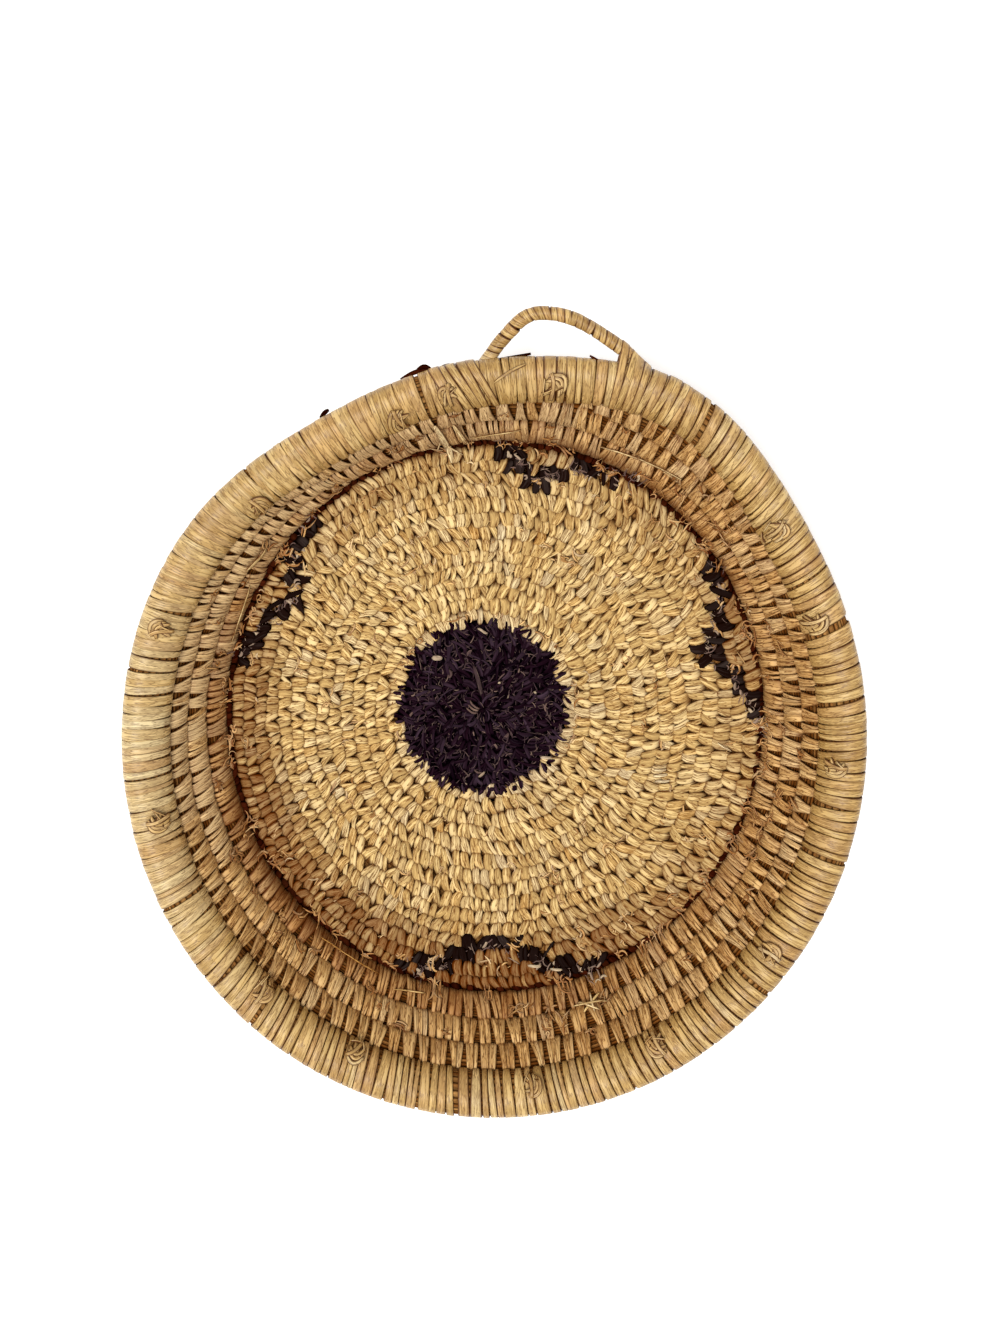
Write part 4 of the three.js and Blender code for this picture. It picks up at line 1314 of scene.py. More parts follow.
@dataclass
class Rim:
    """Bound rim: wraps of flat strip round a bundle, with the loop's feet lashed in under broader ones."""

    loop: Loop
    stations: int = 18
    drawn: int = 600  # Wraps drawn, more than there is room for
    spacing: float = 3.1
    spread: float = 0.3  # How far breadths vary, as a logarithm
    breadths: Range = (1.7, 5.6)  # Narrowest and broadest wrap before the next two
    broad: float = 1.12  # How much broader wraps are than drawn
    # How much narrower on one side, its direction and spread
    narrow: tuple[float, float, float] = (0.34, 136, 26)
    gap_share: float = 0.04  # Share of wraps that leave a gap
    gap: Range = (0.5, 1.7)  # Breadths of those gaps
    seam: float = 0.02  # Gap beside the other wraps
    # Gaps that show the bundle: directions and breadths
    bare: tuple[Range, ...] = (
        (8, 1.3), (19, 2.8), (56.6, 1.8), (157, 1.2), (166.4, 1.0), (171.5, 0.9), (227, 1.5), (262.7, 1.8),
        (341.3, 1.5),
    )
    over: float = 0.06  # Reach past the breadth on both sides
    lean: float = 0.1  # Slant of the wraps as a slope
    lean_waves: Waves = ((0.05, 2, -0.4), (0.04, 5, 0))
    lean_vary: float = 0.03  # How far it varies
    grow_vary: float = 0.07  # How far wraps stand out or lie deep
    sunk: float = 0.3  # Depth of a wrap's inner face
    rise: float = 0.3
    pinch: Range = (0.08, 0.55)  # How much narrower a wrap is towards the wall
    pinch_at: Range = (205, 1.0)  # Angle of that round the section, and its spread in radians
    tuck_at: Range = (215, 0.35)  # The same for where it is tucked under
    # How much darker the wraps are at every eighth of the round: painted light and shade, partly their own
    # browning
    browning_and_side_light: tuple[float, ...] = (0.26, 0.0, 0.22, -0.04, -0.36, 0.0, 0.1, 0.18, 0.26)
    shade_vary: float = 0.12
    stain_vary: Range = (-0.5, 0.5)  # Stain of single wraps, none below 0
    creases: Range = (0.86, 1.2)  # How much broader the creases are, and the lashings' creases
    smooth_side: Side = Side(180, 0.6, 1, 0.1)  # Side with finer painted crease shade
    lash_half: Range = (0.85, 1.15)  # How far breadths of lashings vary
    lash_grow: Range = (0.2, 0.6)  # How far lashings stand out
    lash_lean: float = 0.05  # How far their slant varies
    # Lashings of the loop's feet
    lashings: tuple[Lashing, ...] = (
        Lashing("left", (97.6, 96.2, 94.6, 93.2, 91.6), 1.9, 0.5),
        Lashing("right", tuple(71 - 1.15 * wrap for wrap in range(9)), 1.75, 0.05),
    )
    bundle: Bundle = Bundle(26, 0.5, 180)  # Grass under the wraps
    bundle_sunk: float = 0.9  # How far it lies under them
    seed: int = 14
    master: RingMaster = field(init=False)

    def section(self, grow: Array, facing: Array) -> Array:
        """Points of the rim's section by the way that they face.

        Args:
            grow: Distances outside the section.
            facing: Angles that the points face, from outwards over the top.

        Returns:
            Points as (outwards, upwards).
        """
        a, b = FORM.rim_section[0] + grow, FORM.rim_section[1] + grow
        turned = facing - FORM.rim_lean
        size = np.hypot(a * np.cos(turned), b * np.sin(turned))
        x, y = a**2 * np.cos(turned) / size, b**2 * np.sin(turned) / size
        cos, sin = math.cos(FORM.rim_lean), math.sin(FORM.rim_lean)
        return np.stack([x * cos - y * sin, x * sin + y * cos], -1)

    def wraps(
        self,
        angle: Array,
        broad: Array,
        grow: Array,
        lean: Array,
        rng: Chance,
        cord: Callable[[Array], Array] | None = None,
    ) -> Laid:
        """Wraps round the rim.

        Args:
            angle: Their directions.
            broad: Their half breadths.
            grow: How far outside the rim's section they lie.
            lean: Their slant.
            rng: Source of chance.
            cord: Gives the middle of a cord that they bind in by direction, as (outwards, upwards).

        Returns:
            The wraps.
        """
        count = len(angle)
        facing = np.arange(self.stations) / self.stations * TURN
        path = self.section(column(grow) - self.sunk, facing)
        if cord is not None:
            ways = np.stack([np.cos(facing), np.sin(facing)], -1)
            round_cord = cord(angle)[:, None] + (self.loop.cord + 0.1) * ways
            further = (round_cord * ways).sum(-1) > (path * ways).sum(-1)
            path = np.where(further[..., None], round_cord, path)
        beside_wall, tuck = (
            np.exp(-(((facing - math.radians(at)) / spread) ** 2))
            for at, spread in (self.pinch_at, self.tuck_at)
        )
        half = column(broad) * (1 - column(rng.uniform(*self.pinch, count)) * beside_wall)
        middle = np.linalg.norm(FORM.rim_point(angle, 0.0, 0.0)[:, :2], axis=1)

        def place(sideways: Array, out: Array, up: Array) -> Array:
            """Points round the rim, and round the cord where it is bound in."""
            turned = column(angle) + sideways / column(middle)
            if cord is not None:
                moved = cord(turned) - cord(angle)[:, None]
                drift = np.where(further[:, self.master.station, None], moved, 0)
                out, up = out + drift[..., 0], up + drift[..., 1]
            return FORM.rim_point(turned, out, up)

        # Painted light and shade by side, partly the wraps' own browning
        eighths = np.arange(len(self.browning_and_side_light)) * 45
        wear_and_side_light = np.interp(np.degrees(angle) % 360, eighths, self.browning_and_side_light)
        tone = np.clip(shades(rng, count, self.shade_vary) - wear_and_side_light, 0, 1)
        stain = np.clip(rng.uniform(*self.stain_vary, count), 0, 1)
        laid = lay_rings(self.master, path, half, Crown.FLAT, self.rise, lean, tuck, place, tone, stain)
        creases = rng.uniform(*self.creases, count) if cord is None else self.creases[1]
        laid.deepen(creases - self.smooth_side.share(angle))
        return laid

    def build(self) -> None:
        """Makes the wraps, the bundle inside and the lashings."""
        self.master = RingMaster(self.stations)
        rng = np.random.default_rng(self.seed)
        drawn = rng.lognormal(math.log(self.spacing), self.spread, self.drawn)
        breadths = np.clip(drawn, *self.breadths)
        less, at, spread = self.narrow
        turned = np.degrees(np.cumsum(breadths) / FORM.rim_radius)
        breadths *= self.broad - less * np.exp(-(((turned - at) / spread) ** 2))
        apart = rng.random(self.drawn) < self.gap_share
        gaps = np.where(apart, rng.uniform(*self.gap, self.drawn), self.seam)
        for direction, gap in self.bare:
            begins = np.degrees((np.cumsum(breadths + gaps) - breadths) / FORM.rim_radius)
            gaps[np.argmin(np.abs(begins - direction))] = gap
        ends = np.cumsum(breadths + gaps)
        last = int(np.searchsorted(ends, TURN * FORM.rim_radius))
        angle = (ends - breadths / 2)[:last] * TURN / ends[last - 1]
        lean = self.lean + ripple(angle, 1.0, self.lean_waves) + rng.normal(0, self.lean_vary, last)
        grow = rng.normal(0, self.grow_vary, last)
        laid = self.wraps(angle, breadths[:last] / 2 + self.over, grow, lean, rng)
        add_piece("rim_wraps", [laid], RIM_PALM, Slot.RIM, ("rim_binding",))
        facing, dip = self.bundle.around()
        shape = self.section(-self.bundle_sunk - dip, facing)
        bundle = lay_tube(FORM.rim_point(column(self.bundle.turn()), shape[:, 0], shape[:, 1]), True)
        bundle.retone(0.5, 0.5)
        add_piece("rim_bundle", [bundle], GRASS, Slot.GRASS, ("rim_core",))
        for lashing in self.lashings:
            self.lash(lashing, rng)

    def lash(self, lashing: Lashing, rng: Chance) -> None:
        """Lashing of one foot of the loop.

        Args:
            lashing: Its wraps.
            rng: Source of chance.
        """
        plan = self.loop.line[:, :2] - FORM.rim_drift
        direction = np.unwrap(np.arctan2(plan[:, 1] / FORM.rim_half[1], plan[:, 0] / FORM.rim_half[0]))
        order = np.argsort(direction)
        known, line = direction[order], self.loop.line[order]

        def cord(turned: Array) -> Array:
            """Middle of the cord beside the middle of the rim, by direction."""
            here = np.stack([np.interp(turned, known, line[:, i]) for i in range(3)], -1)
            away = here - FORM.rim_point(turned, 0.0, 0.0)
            return np.stack([away[..., 0] * np.cos(turned) + away[..., 1] * np.sin(turned), away[..., 2]], -1)

        count = len(lashing.places)
        halves = lashing.half * rng.uniform(*self.lash_half, count)
        lean = rng.normal(lashing.slant, self.lash_lean, count)
        grow = rng.uniform(*self.lash_grow, count)
        laid = self.wraps(np.radians(lashing.places), halves, grow, lean, rng, cord)
        name = f"lashing_{lashing.side}_wraps"
        add_piece(name, [laid], RIM_PALM, Slot.RIM, (f"loop_lashing_{lashing.side}",))


@dataclass
class HangingLoop:
    """Cord of the hanging loop under its wound strip."""

    loop: Loop
    spacing: float = 2.6  # From wrap to wrap
    ends: float = 3.0  # Length at both ends that has no wrap
    stations: int = 14
    place_vary: float = 0.25  # How far wraps are out of step
    sunk: Range = (0.2, 0.05)  # Depth of a wrap's inner face, and how far it varies
    half: Range = (0.5, 0.66)  # Half breadth of a wrap, against the spacing
    rise: float = 0.22
    darker: float = 0.15  # How much darker the wraps are than on the rim
    stain_vary: Range = (-0.3, 0.5)  # Stain of single wraps, none below 0
    lean: Range = (0.3, 0.12)  # Slant of the wraps as a slope, and how far it varies
    creases: float = 1.25  # How much broader the creases are
    core_sunk: float = 0.55  # Depth of the bare cord's face
    core_steps: tuple[int, int] = (80, 10)  # Steps along the bare cord, and round it
    seed: int = 15

    def build(self) -> None:
        """Makes the cord and its wraps."""
        rng = np.random.default_rng(self.seed)
        at = np.arange(self.ends, self.loop.length - self.ends, self.spacing)
        count = len(at)
        at = column(at + rng.normal(0, self.place_vary, count))
        facing = np.arange(self.stations) / self.stations * TURN
        radius = self.loop.cord - self.sunk[0] + rng.normal(0, self.sunk[1], count)
        path = radius[:, None, None] * np.stack([np.cos(facing), np.sin(facing)], -1)
        half = np.repeat(column(self.spacing * rng.uniform(*self.half, count)), self.stations, 1)

        def place(sideways: Array, side: Array, up: Array) -> Array:
            """Points round the cord."""
            return self.loop.point(at + sideways, side, up)

        tone = shades(rng, count) - self.darker
        stain = np.clip(rng.uniform(*self.stain_vary, count), 0, 1)
        lean = rng.normal(*self.lean, count)
        master, level = RingMaster(self.stations), np.zeros(self.stations)
        laid = lay_rings(master, path, half, Crown.FLAT, self.rise, lean, level, place, tone, stain)
        laid.deepen(self.creases)
        add_piece("loop_wraps", [laid], RIM_PALM, Slot.RIM, ("loop_winding",))
        steps, sides = self.core_steps
        around = np.arange(sides) / sides * TURN
        along = column(np.linspace(0, self.loop.length, steps)) + 0 * around
        wide = self.loop.cord - self.core_sunk + 0 * along
        tube = self.loop.point(along, wide * np.cos(around), wide * np.sin(around))
        add_piece("loop_cord", [lay_tube(tube, False)], GRASS, Slot.GRASS, ("loop_core",))


@dataclass
class StripEnds:
    """Ends of sewing strips, turned over and tucked under on the rim."""

    rim: Rim
    # Direction of each end, and its place across the rim
    places: tuple[Range, ...] = (
        (134, -3), (107, -3), (98, 1), (80, 1), (37, 1), (21, -1), (-3, -1), (-35, 0),
        (-61, -2), (-83, -2), (-115, -3), (-134, -3), (-168, 0), (160, 3),
    )
    steps: int = 12
    thick: float = 0.9
    top: float = 112  # Angle of their middle round the rim's section
    bend: float = 10.5  # Radius of the rim's section there
    folds: int = 3
    fold_half: float = 0.85
    fold_place: Range = (2.4, 1.2)  # Place of the first fold across the rim, and from fold to fold
    fold_bend: Range = (1.6, 2.8)  # How far a fold's ends are bent back
    fold_reach: Range = (2.6, 3.5)  # How far they reach along the rim
    # Ends of the leaf below the folds: along, across and above the rim
    leaf: tuple[tuple[float, float, float], ...] = ((0.0, 0.6, 0.9), (1.2, -4.8, 0.2))
    leaf_half: Range = (1.9, 0.25)  # Half breadth that it tapers from, and that it keeps
    leaf_vary: float = 0.6  # How far it is shifted along the rim
    # Ends of the strip across the folds: along and across the rim
    cross: tuple[Range, Range] = ((3.4, 0.2), (-2.0, -4.2))
    cross_bow: float = 0.9  # How far that strip is bowed
    frays: int = 2  # Frayed bits beside them
    fray_length: Range = (2.5, 5)
    # Place across the rim, and spread along and across
    fray_place: tuple[float, float, float] = (-3, 1.5, 1.2)
    fray_half: float = 0.3  # Their half breadth
    tilt: Range = (0.75, 0.4)  # Turn of an end in radians, and how far it varies
    size: Range = (1.0, 1.3)  # Sizes of the ends, against the ones above
    stain: float = 0.4  # Most stain of a strip
    creases: float = 1.3  # How much broader the painted crease shade is: a painted shadow round the ends
    straw: Range = (-6.0, 3.4)  # Half lengths of a straw beside the loop, along and across
    straw_at: Range = (87.6, 5.5)  # Its direction and its place across the rim
    seed: int = 16

    def build(self) -> None:
        """Makes the ends and a straw that lies across the rim beside the loop."""
        rng = np.random.default_rng(self.seed)
        for index, (direction, shift) in enumerate(self.places):
            name = f"strip_end_{index + 1:02d}"
            laid = self.lay(self.end(rng), direction, shift, rng)
            add_piece(f"{name}_curl", [laid], RIM_PALM, Slot.RIM, (name,))
        t = np.linspace(-1, 1, self.steps)
        straw = stacked(self.straw[0] * t, self.straw[1] * t, 0.4, 0.6 - 0.3 * t**4)[None]
        add_piece("rim_straw", [self.lay(straw, *self.straw_at, rng)], RIM_PALM, Slot.RIM)

    def end(self, rng: Chance) -> Array:
        """One end: a strip bent over in three folds, its leaf below them, and a cross strip with frayed bits.

        Args:
            rng: Source of chance.

        Returns:
            Lines along the rim, across it and above it, with the half breadths last.
        """
        t = np.linspace(0, 1, self.steps)
        both = 2 * t - 1
        swell = np.sin(math.pi * t) ** 0.5
        lines = []
        for fold in range(self.folds):
            bent = self.fold_place[0] - self.fold_place[1] * fold - rng.uniform(*self.fold_bend) * both**2
            half = self.fold_half * (1 - 0.4 * np.abs(both) ** 4)
            lines.append((rng.uniform(*self.fold_reach) * both, bent, 0.3 + 0.8 * swell - 0.1 * fold, half))
        along, across, above = (a + (b - a) * t for a, b in zip(*self.leaf))
        taper = self.leaf_half[0] * (1 - t) ** 0.8 + self.leaf_half[1]
        lines.append((rng.normal(0, self.leaf_vary) + along, across, above, taper))
        along, across = (a + (b - a) * t for a, b in zip(*self.cross))
        across = across + self.cross_bow * np.sin(math.pi * t)
        lines.append((along, across, 0.5 + 0.7 * swell, self.fold_half))
        middle, vary_along, vary_across = self.fray_place
        for _ in range(self.frays):
            way, size = rng.uniform(0, TURN), rng.uniform(*self.fray_length)
            x, y = rng.normal(0, vary_along), rng.normal(middle, vary_across)
            along, across = x + size / 2 * both * np.cos(way), y + size / 2 * both * np.sin(way)
            lines.append((along, across, 0.5 + 0.8 * swell, self.fray_half))
        local = np.array([stacked(*line) for line in lines])
        tilt, size = rng.normal(*self.tilt), rng.uniform(*self.size)
        way = rng.choice([-1, 1])
        x, y = local[..., 0] * way * size, local[..., 1] * size
        cos, sin = math.cos(tilt * way), math.sin(tilt * way)
        local[..., 0], local[..., 1] = x * cos - y * sin, x * sin + y * cos
        return local

    def lay(self, local: Array, direction: float, shift: float, rng: Chance) -> Laid:
        """Strips laid on the rim.

        Args:
            local: Lines along the rim, across it and above it, with the half breadths last.
            direction: Direction of their middle, in degrees.
            shift: Their place across the rim, from its top line.
            rng: Source of chance.

        Returns:
            The strips.
        """
        along, across, above, half = np.moveaxis(local, -1, 0)
        angle = math.radians(direction) + along / FORM.rim_radius
        facing = math.radians(self.top) - (shift + across) / self.bend
        shape = self.rim.section(above, facing)
        path = FORM.rim_point(angle, shape[..., 0], shape[..., 1])
        normal = stacked(np.cos(facing) * np.cos(angle), np.cos(facing) * np.sin(angle), np.sin(facing))
        tone = shades(rng, len(local), 0.15)
        stain = self.stain * rng.random(len(local))
        laid = lay_strands(StrandMaster(self.steps), path, normal, half, self.thick, tone, stain)
        laid.deepen(self.creases)
        return laid


@dataclass(frozen=True)
class Tufts:
    """Groups of frayed fibres on a stretch of the bowl's inside."""

    number: int  # How many groups
    reach: float  # Distance of their middle from the start of the coil
    spread: float  # How far that varies
    fibres: int  # Fibres in a group


@dataclass
class LooseFibres:
    """Frayed ends and straws that stand off the stitches."""

    # Straws by direction and reach of both ends, half breadth, lift and shade
    straws: tuple[tuple[float, ...], ...] = (
        (101.2, 135, 99.5, 105.5, 1.4, 0.7, 0.8), (69, 121, 53, 129, 0.5, 0.4, 0.7),
        (95.1, 119, 84.9, 124, 0.45, 0.5, 0.6), (248.5, 119, 255, 116, 0.35, 0.4, 0.3),
        (103, 112, 101, 122, 0.3, 0.7, 0.8), (97, 108, 104, 118, 0.35, 0.9, 0.8),
        (292, 121, 288, 127, 0.6, 0.7, 0.5), (287, 122, 291, 128, 0.6, 0.9, 0.7),
        (290, 119, 290, 128, 0.4, 1.2, 0.8), (293, 126, 286, 123, 0.4, 1.3, 0.6),
        (340.5, 73, 342.6, 78, 0.7, 0.5, 0.9), (339, 74.3, 341.2, 79.5, 0.55, 0.7, 1.0),
        (342.4, 72.4, 343.8, 77, 0.5, 0.6, 0.9), (230, 115.5, 244.4, 115, 0.35, 0.8, 0.0),
        (150.8, 117.8, 163.2, 115.2, 0.5, 0.8, 0.6), (147.9, 124.5, 142.7, 122.3, 0.9, 0.6, 0.6),
        (354.2, 95.3, 352.8, 100.9, 0.4, 0.8, 0.9), (97.8, 132, 95.7, 113, 1.0, 0.7, 0.7),
    )
    # Chips of worn dyed strip, in the same way
    faded: tuple[tuple[float, ...], ...] = (
        (131, 27.2, 136, 30.6, 1.0, 0.3, 0.8), (104, 18, 100, 5, 0.8, 0.4, 0.0),
        (278, 103.5, 281, 104.6, 0.6, 0.5, 1.0), (283, 106.5, 285.5, 108, 0.55, 0.5, 1.0),
        (60, 12, 58, 12.8, 0.4, 0.4, 1.0), (18, 22, 17, 22.9, 0.4, 0.4, 1.0),
        (320, 31, 325, 34, 0.6, 0.4, 0.9), (88, 31, 95, 33, 0.5, 0.4, 0.8),
        (265, 28, 270, 26, 0.5, 0.3, 0.7), (180, 2.0, 150, 6.6, 0.35, 0.6, 0.3),
        (195, 2.6, 165, 7.0, 0.35, 0.6, 0.4), (210, 3.4, 178, 7.4, 0.35, 0.6, 0.3),
    )
    # Ends of core stems and dyed strips past the rim: both ends, half breadth, bow and shade
    sticks: tuple[tuple, ...] = (
        ("dark_stick", (-8.0, 143.0, 36.4), (18.5, 148.2, 36.8), 0.75, 0.0, 0.3),
        ("red_fibre_a", (-63.6, 123.1, 35.0), (-60.3, 126.2, 35.4), 0.9, 0.4, 0.1),
        ("red_fibre_b", (-32.1, 138.0, 35.0), (-18.4, 141.6, 35.5), 0.9, 1.5, 0.9),
        ("red_fibre_c", (-26.0, 141.3, 35.2), (-20.5, 142.2, 35.6), 0.9, 1.3, 0.3),
        ("red_fibre_d", (41.5, 147.4, 37.0), (46.5, 144.4, 38.5), 0.55, 0.0, 1.0),
        ("red_fibre_e", (-17.0, 142.4, 35.4), (-13.0, 143.9, 35.6), 0.8, 0.0, 0.2),
    )
    # Frayed fibres in the crease, at the edge of the dye, on the wall and on the base
    tufts: tuple[Tufts, ...] = (
        Tufts(90, 112.8, 1.6, 4), Tufts(20, 38.5, 0.8, 3), Tufts(70, 124, 7, 5), Tufts(110, 78, 20, 3),
        Tufts(75, 104, 4.5, 4),
    )
    dyed_number: tuple[int, int] = (700, 90)  # Loose fibres in the dyed middle, and on each chevron
    dyed_reach: Range = (34, 1.8)  # Reach from the middle, and off a chevron's line
    points: int = 90  # Dyed ends over the edge of the dye
    fray_length: tuple[float, float, float] = (4, 0.9, 0.8)  # Frayed fibres: shape, scale and least length
    fray_half: Range = (0.15, 0.5)  # Their half breadths
    fray_lift: Range = (0.05, 0.5)  # How high they stand
    fray_spread: tuple[float, float, float] = (0.45, 0.7, 1.3)  # Spread in a group: heading, reach and place
    fray_within: float = 38.5  # Edge of the dye, inside which none lies
    fray_stain: tuple[float, float, float] = (0.6, 0.35, 108)  # Most stain, and more of it from a reach on
    dyed_edge: float = 40  # Reach from which dyed fibres lie on chevrons
    chip_share: Range = (0.022, 0.16)  # Share of chips among them in the middle, and on the chevrons
    chip_length: Range = (1.6, 4.2)
    chip_half: Range = (0.3, 0.65)
    thread_length: tuple[float, float, float] = (3, 0.9, 1)  # The others: shape, scale and least length
    thread_half: Range = (0.07, 0.26)  # Their half breadths
    dyed_lift: Range = (0.05, 0.45)  # How high dyed fibres stand
    wear_and_side_light: tuple[float, float, float] = (0.12, 0.25, 0.35)  # Usual shade, and gain of chips and on chevrons
    point_turns: Range = (0.02, 1.0)  # Dyed ends: turns before the end of the dye
    point_over: Range = (-1.2, 0.8)  # Their reach over its edge
    point_length: Range = (3, 5)
    point_half: Range = (0.4, 0.8)  # Their half breadths
    point_lift: Range = (0.7, 1.1)  # How high they stand
    curls: tuple[float, float, float] = (1.2, 0.9, 0.3)  # Bend of frayed fibres, dyed fibres and dyed ends
    stick_thick: float = 1.1
    steps: int = 9
    seed: int = 17
    master: StrandMaster = field(init=False)

    def laid_out(self, rows: Sequence[tuple[float, ...]], rng: Chance) -> Laid:
        """Fibres that lie at known places.

        Args:
            rows: Direction and reach of both ends, half breadth, lift and shade of each.
            rng: Source of chance.

        Returns:
            The fibres.
        """
        start, near, end, far, half, lift, tone = (column(part) for part in np.array(rows).T)
        t = np.linspace(0, 1, self.steps)
        turn = np.radians(start + t * (end - start))
        wave = 0.15 * rng.normal(0, 1, (len(rows), 1)) * np.sin(6 * t)
        reach = near + t * (far - near) + wave
        high = 0.2 + (lift + 0.3) * np.sin(math.pi * t) ** 0.5
        path = FORM.inside_point(turn, reach, high)
        above = FORM.inside_point(turn, reach, high + 1)
        taper = half * (1 - 0.5 * np.abs(2 * t - 1) ** 4)
        return lay_strands(self.master, path, above - path, taper, 0.3, tone, 0.0)

    def strands(
        self,
        angle: Array,
        reach: Array,
        heading: Array,
        length: Array,
        half: Array,
        lift: Array,
        rng: Chance,
        tone: Array,
        stain: Array | float,
        curl: float,
    ) -> Laid:
        """Fibres on the inside of the bowl.

        Args:
            angle: Directions of their middles.
            reach: Distances of their middles from the start of the coil.
            heading: Ways that they run, from along the row.
            length: Their lengths.
            half: Their half breadths.
            lift: How high they stand in the middle.
            rng: Source of chance.
            tone: Shades.
            stain: Stains.
            curl: How far they are bent.

        Returns:
            The fibres.
        """
        t = np.linspace(-0.5, 0.5, self.steps)
        way = column(heading) + column(rng.normal(0, curl, len(angle))) * t
        along = t * column(length) * np.cos(way)
        across = t * column(length) * np.sin(way)
        around = column(angle) + along / column(np.maximum(reach, 8))
        high = column(lift) * (1 - (2 * t) ** 2) - 0.15
        path = FORM.inside_point(around, column(reach) + across, high)
        above = FORM.inside_point(around, column(reach) + across, high + 1)
        breadth = column(half) * (1 - 0.75 * np.abs(2 * t) ** 3)
        return lay_strands(self.master, path, above - path, breadth, 0.6 * half, tone, stain)

    def frayed(self, rng: Chance) -> Laid:
        """Frayed fibres of natural strips, in groups.

        Args:
            rng: Source of chance.

        Returns:
            The fibres.
        """
        reach = [np.repeat(rng.normal(t.reach, t.spread, t.number), t.fibres) for t in self.tufts]
        reach = np.concatenate(reach)
        sizes = np.repeat([t.fibres for t in self.tufts], [t.number for t in self.tufts])
        count, groups = len(reach), len(sizes)
        turn = np.repeat(rng.uniform(0, TURN, groups), sizes)
        twist, scatter, apart = self.fray_spread
        heading = np.repeat(rng.uniform(0, math.pi, groups), sizes) + rng.normal(0, twist, count)
        reach = np.maximum(reach + rng.normal(0, scatter, count), self.fray_within)
        turn = turn + rng.normal(0, apart, count) / reach
        shape, scale, least = self.fray_length
        length = rng.gamma(shape, scale, count) + least
        half, lift = rng.uniform(*self.fray_half, count), rng.uniform(*self.fray_lift, count)
        tone = np.clip(shades(rng, count, 0.25) + 0.1, 0, 1)
        most, more, outside = self.fray_stain
        stain = most * rng.random(count) + more * (reach > outside)
        return self.strands(turn, reach, heading, length, half, lift, rng, tone, stain, self.curls[0])

    def dyed(self, rng: Chance) -> Laid:
        """Loose dyed fibres and chips, in the dark middle and on the chevrons.

        Args:
            rng: Source of chance.

        Returns:
            The fibres.
        """
        middle, each = self.dyed_number
        angles, radii = [rng.uniform(0, TURN, middle)], [self.dyed_reach[0] * np.sqrt(rng.random(middle))]
        for line in CHEVRONS:
            degrees, reach = np.array(line, float).T
            steps, known = rng.uniform(0, len(line) - 1, each), np.arange(len(line))
            angles.append(np.radians(np.interp(steps, known, degrees)))
            radii.append(np.interp(steps, known, reach) + rng.normal(0, self.dyed_reach[1], each))
        angle, reach = np.concatenate(angles), np.concatenate(radii)
        count, outside = len(angle), reach > self.dyed_edge
        chip = rng.random(count) < np.where(outside, self.chip_share[1], self.chip_share[0])
        shape, scale, least = self.thread_length
        length = rng.uniform(*self.chip_length, count)
        length = np.where(chip, length, rng.gamma(shape, scale, count) + least)
        half = np.where(chip, rng.uniform(*self.chip_half, count), rng.uniform(*self.thread_half, count))
        usual, on_chips, on_chevrons = self.wear_and_side_light
        tone = np.clip(rng.exponential(usual, count) + on_chips * chip + on_chevrons * outside, 0, 1)
        heading, lift = rng.uniform(0, math.pi, count), rng.uniform(*self.dyed_lift, count)
        stain = rng.random(count) * (1 - tone)
        return self.strands(angle, reach, heading, length, half, lift, rng, tone, stain, self.curls[1])

    def dyed_ends(self, rng: Chance) -> Laid:
        """Pointed ends of dyed stitches along the edge of the dye.

        Args:
            rng: Source of chance.

        Returns:
            The ends.
        """
        count = self.points
        turn = FORM.dyed_turns - rng.uniform(*self.point_turns, count)
        middle, width = Base().lane(turn, True)
        edge = middle + width * FORM.base_row / 2 + rng.uniform(*self.point_over, count)
        angle, heading = (turn + FORM.coil_phase) * TURN, rng.normal(math.pi / 2, 0.35, count)
        length, half = rng.uniform(*self.point_length, count), rng.uniform(*self.point_half, count)
        lift, tone = rng.uniform(*self.point_lift, count), shades(rng, count)
        return self.strands(angle, edge, heading, length, half, lift, rng, tone, 0.0, self.curls[2])

    def build(self) -> None:
        """Makes the fibres."""
        self.master = StrandMaster(self.steps)
        rng = np.random.default_rng(self.seed)
        add_piece("frayed_fibres", [self.frayed(rng)], WALL_PALM, Slot.WALL)
        add_piece("dyed_fibres", [self.dyed(rng), self.laid_out(self.faded, rng)], FADED_PALM, Slot.DYED)
        add_piece("dyed_points", [self.dyed_ends(rng)], DYED_PALM, Slot.DYED)
        add_piece("straws", [self.laid_out(self.straws, rng)], BASE_PALM, Slot.BASE)
        t = column(np.linspace(0, 1, self.steps))
        swell, upwards = np.sin(math.pi * t), np.array([0.0, 0.0, 1.0])
        for name, start, end, broad, bow, tone in self.sticks:
            path = (np.array(start) + t * np.subtract(end, start) + swell * [0, bow, 0])[None]
            half = broad * (0.6 + 0.4 * swell.T)
            laid = lay_strands(self.master, path, upwards, half, self.stick_thick, tone, 0.0)
            add_piece(name, [laid], MAROON_PALM, Slot.MAROON)


def seen_as(tree: bpy.types.NodeTree, light: float, look: float) -> bpy.types.NodeSocket:
    """Strength that differs between what is lit and what is looked at.

    Args:
        tree: Node tree that takes the nodes.
        light: Strength as light on other things.
        look: Strength where the camera, a shine or a clear body shows it.

    Returns:
        The strength.
    """
    ray = add_node(tree, "LightPath", {})
    shown = ray.outputs["Is Camera Ray"]
    for name in ("Is Glossy Ray", "Is Transmission Ray"):
        shown = add_node(tree, "Math", {0: shown, 1: ray.outputs[name]}, operation="MAXIMUM").outputs[0]
    return add_node(tree, "MapRange", {0: shown, 1: 0.0, 2: 1.0, 3: light, 4: look}).outputs[0]


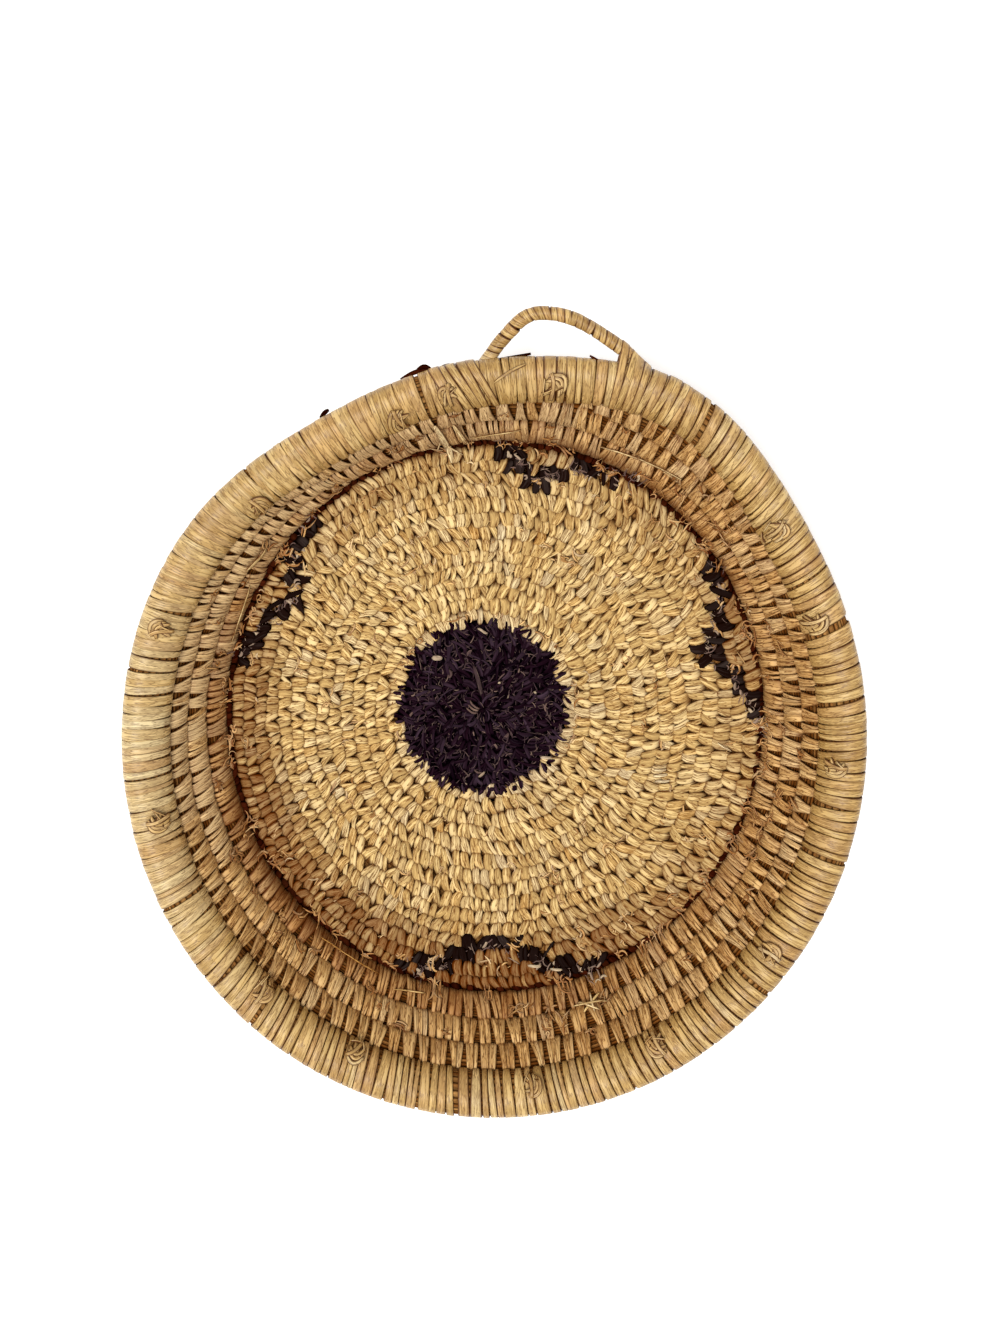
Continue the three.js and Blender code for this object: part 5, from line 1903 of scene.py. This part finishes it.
@dataclass
class Studio:
    """White floor, soft light and camera."""

    floor_size: float = 8.0  # Size of the floor, in metres
    floor_drop: float = 0.4  # How far it lies under the bowl
    paper: float = 0.86  # Brightness of the floor's paper
    glow: float = 0.62  # Light added for the camera, for a white background
    sky: float = 0.5  # Brightness of the surroundings as light
    sun: float = 2.4
    sun_size: float = 30  # Angle over which the lamp is spread
    sun_tilt: Range = (3, -13)  # How far it is turned off upright
    lens: Range = (74.27, 36)  # Focal length and breadth of the picture behind it
    place: tuple[float, float, float] = (6.3, 251.35, 1106.27)
    tilt: float = -12  # How far it is turned off upright

    def build(self) -> None:
        """Makes the floor, the light and the camera."""
        self.build_floor()
        white = (1, 1, 1, 1)
        world = bpy.data.worlds.new("studio")
        world.use_nodes = True
        tree = world.node_tree
        tree.nodes.clear()
        sky = add_node(tree, "Background", {"Color": white, "Strength": seen_as(tree, self.sky, 1.0)})
        add_node(tree, "OutputWorld", {"Surface": sky.outputs[0]})
        scene = bpy.context.scene
        scene.world = world
        lamp = bpy.data.lights.new("soft_key", "SUN")
        lamp.energy = self.sun
        lamp.angle = math.radians(self.sun_size)
        key = bpy.data.objects.new("soft_key", lamp)
        key.rotation_euler = (*np.radians(self.sun_tilt), 0)
        view = bpy.data.cameras.new("view")
        view.lens, view.sensor_width = self.lens
        camera = bpy.data.objects.new("view", view)
        camera.location = [part * MM for part in self.place]
        camera.rotation_euler = (math.radians(self.tilt), 0, 0)
        for thing in (key, camera):
            scene.collection.objects.link(thing)
        scene.camera = camera
        scene.view_settings.view_transform = "Standard"

    def build_floor(self) -> None:
        """Makes the floor, which keeps the bowl's shadow."""
        bpy.ops.object.select_all(action="DESELECT")
        bpy.ops.mesh.primitive_plane_add(size=self.floor_size, location=(0, 0, -self.floor_drop * MM))
        floor = bpy.context.object
        floor.name = "floor"
        # White paper, matt and without grain
        material = bpy.data.materials.new("white_paper")
        material.use_nodes = True
        tree = material.node_tree
        tree.nodes.clear()
        paper = add_node(tree, "BsdfDiffuse", {"Color": (self.paper, self.paper, self.paper, 1)})
        glow = add_node(tree, "Emission", {"Color": (1, 1, 1, 1), "Strength": seen_as(tree, 0.0, self.glow)})
        both = add_node(tree, "AddShader", {0: paper.outputs[0], 1: glow.outputs[0]})
        add_node(tree, "OutputMaterial", {"Surface": both.outputs[0]})
        floor.data.materials.append(material)


def main() -> None:
    """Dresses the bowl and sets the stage."""
    logging.basicConfig(level=logging.INFO, format="%(name)s %(message)s")
    loop = Loop()
    rim = Rim(loop)
    for part in (Base(), EdgeRow(), Wall(), rim, HangingLoop(loop), StripEnds(rim), LooseFibres(), Studio()):
        part.build()


if __name__ == "__main__":
    main()
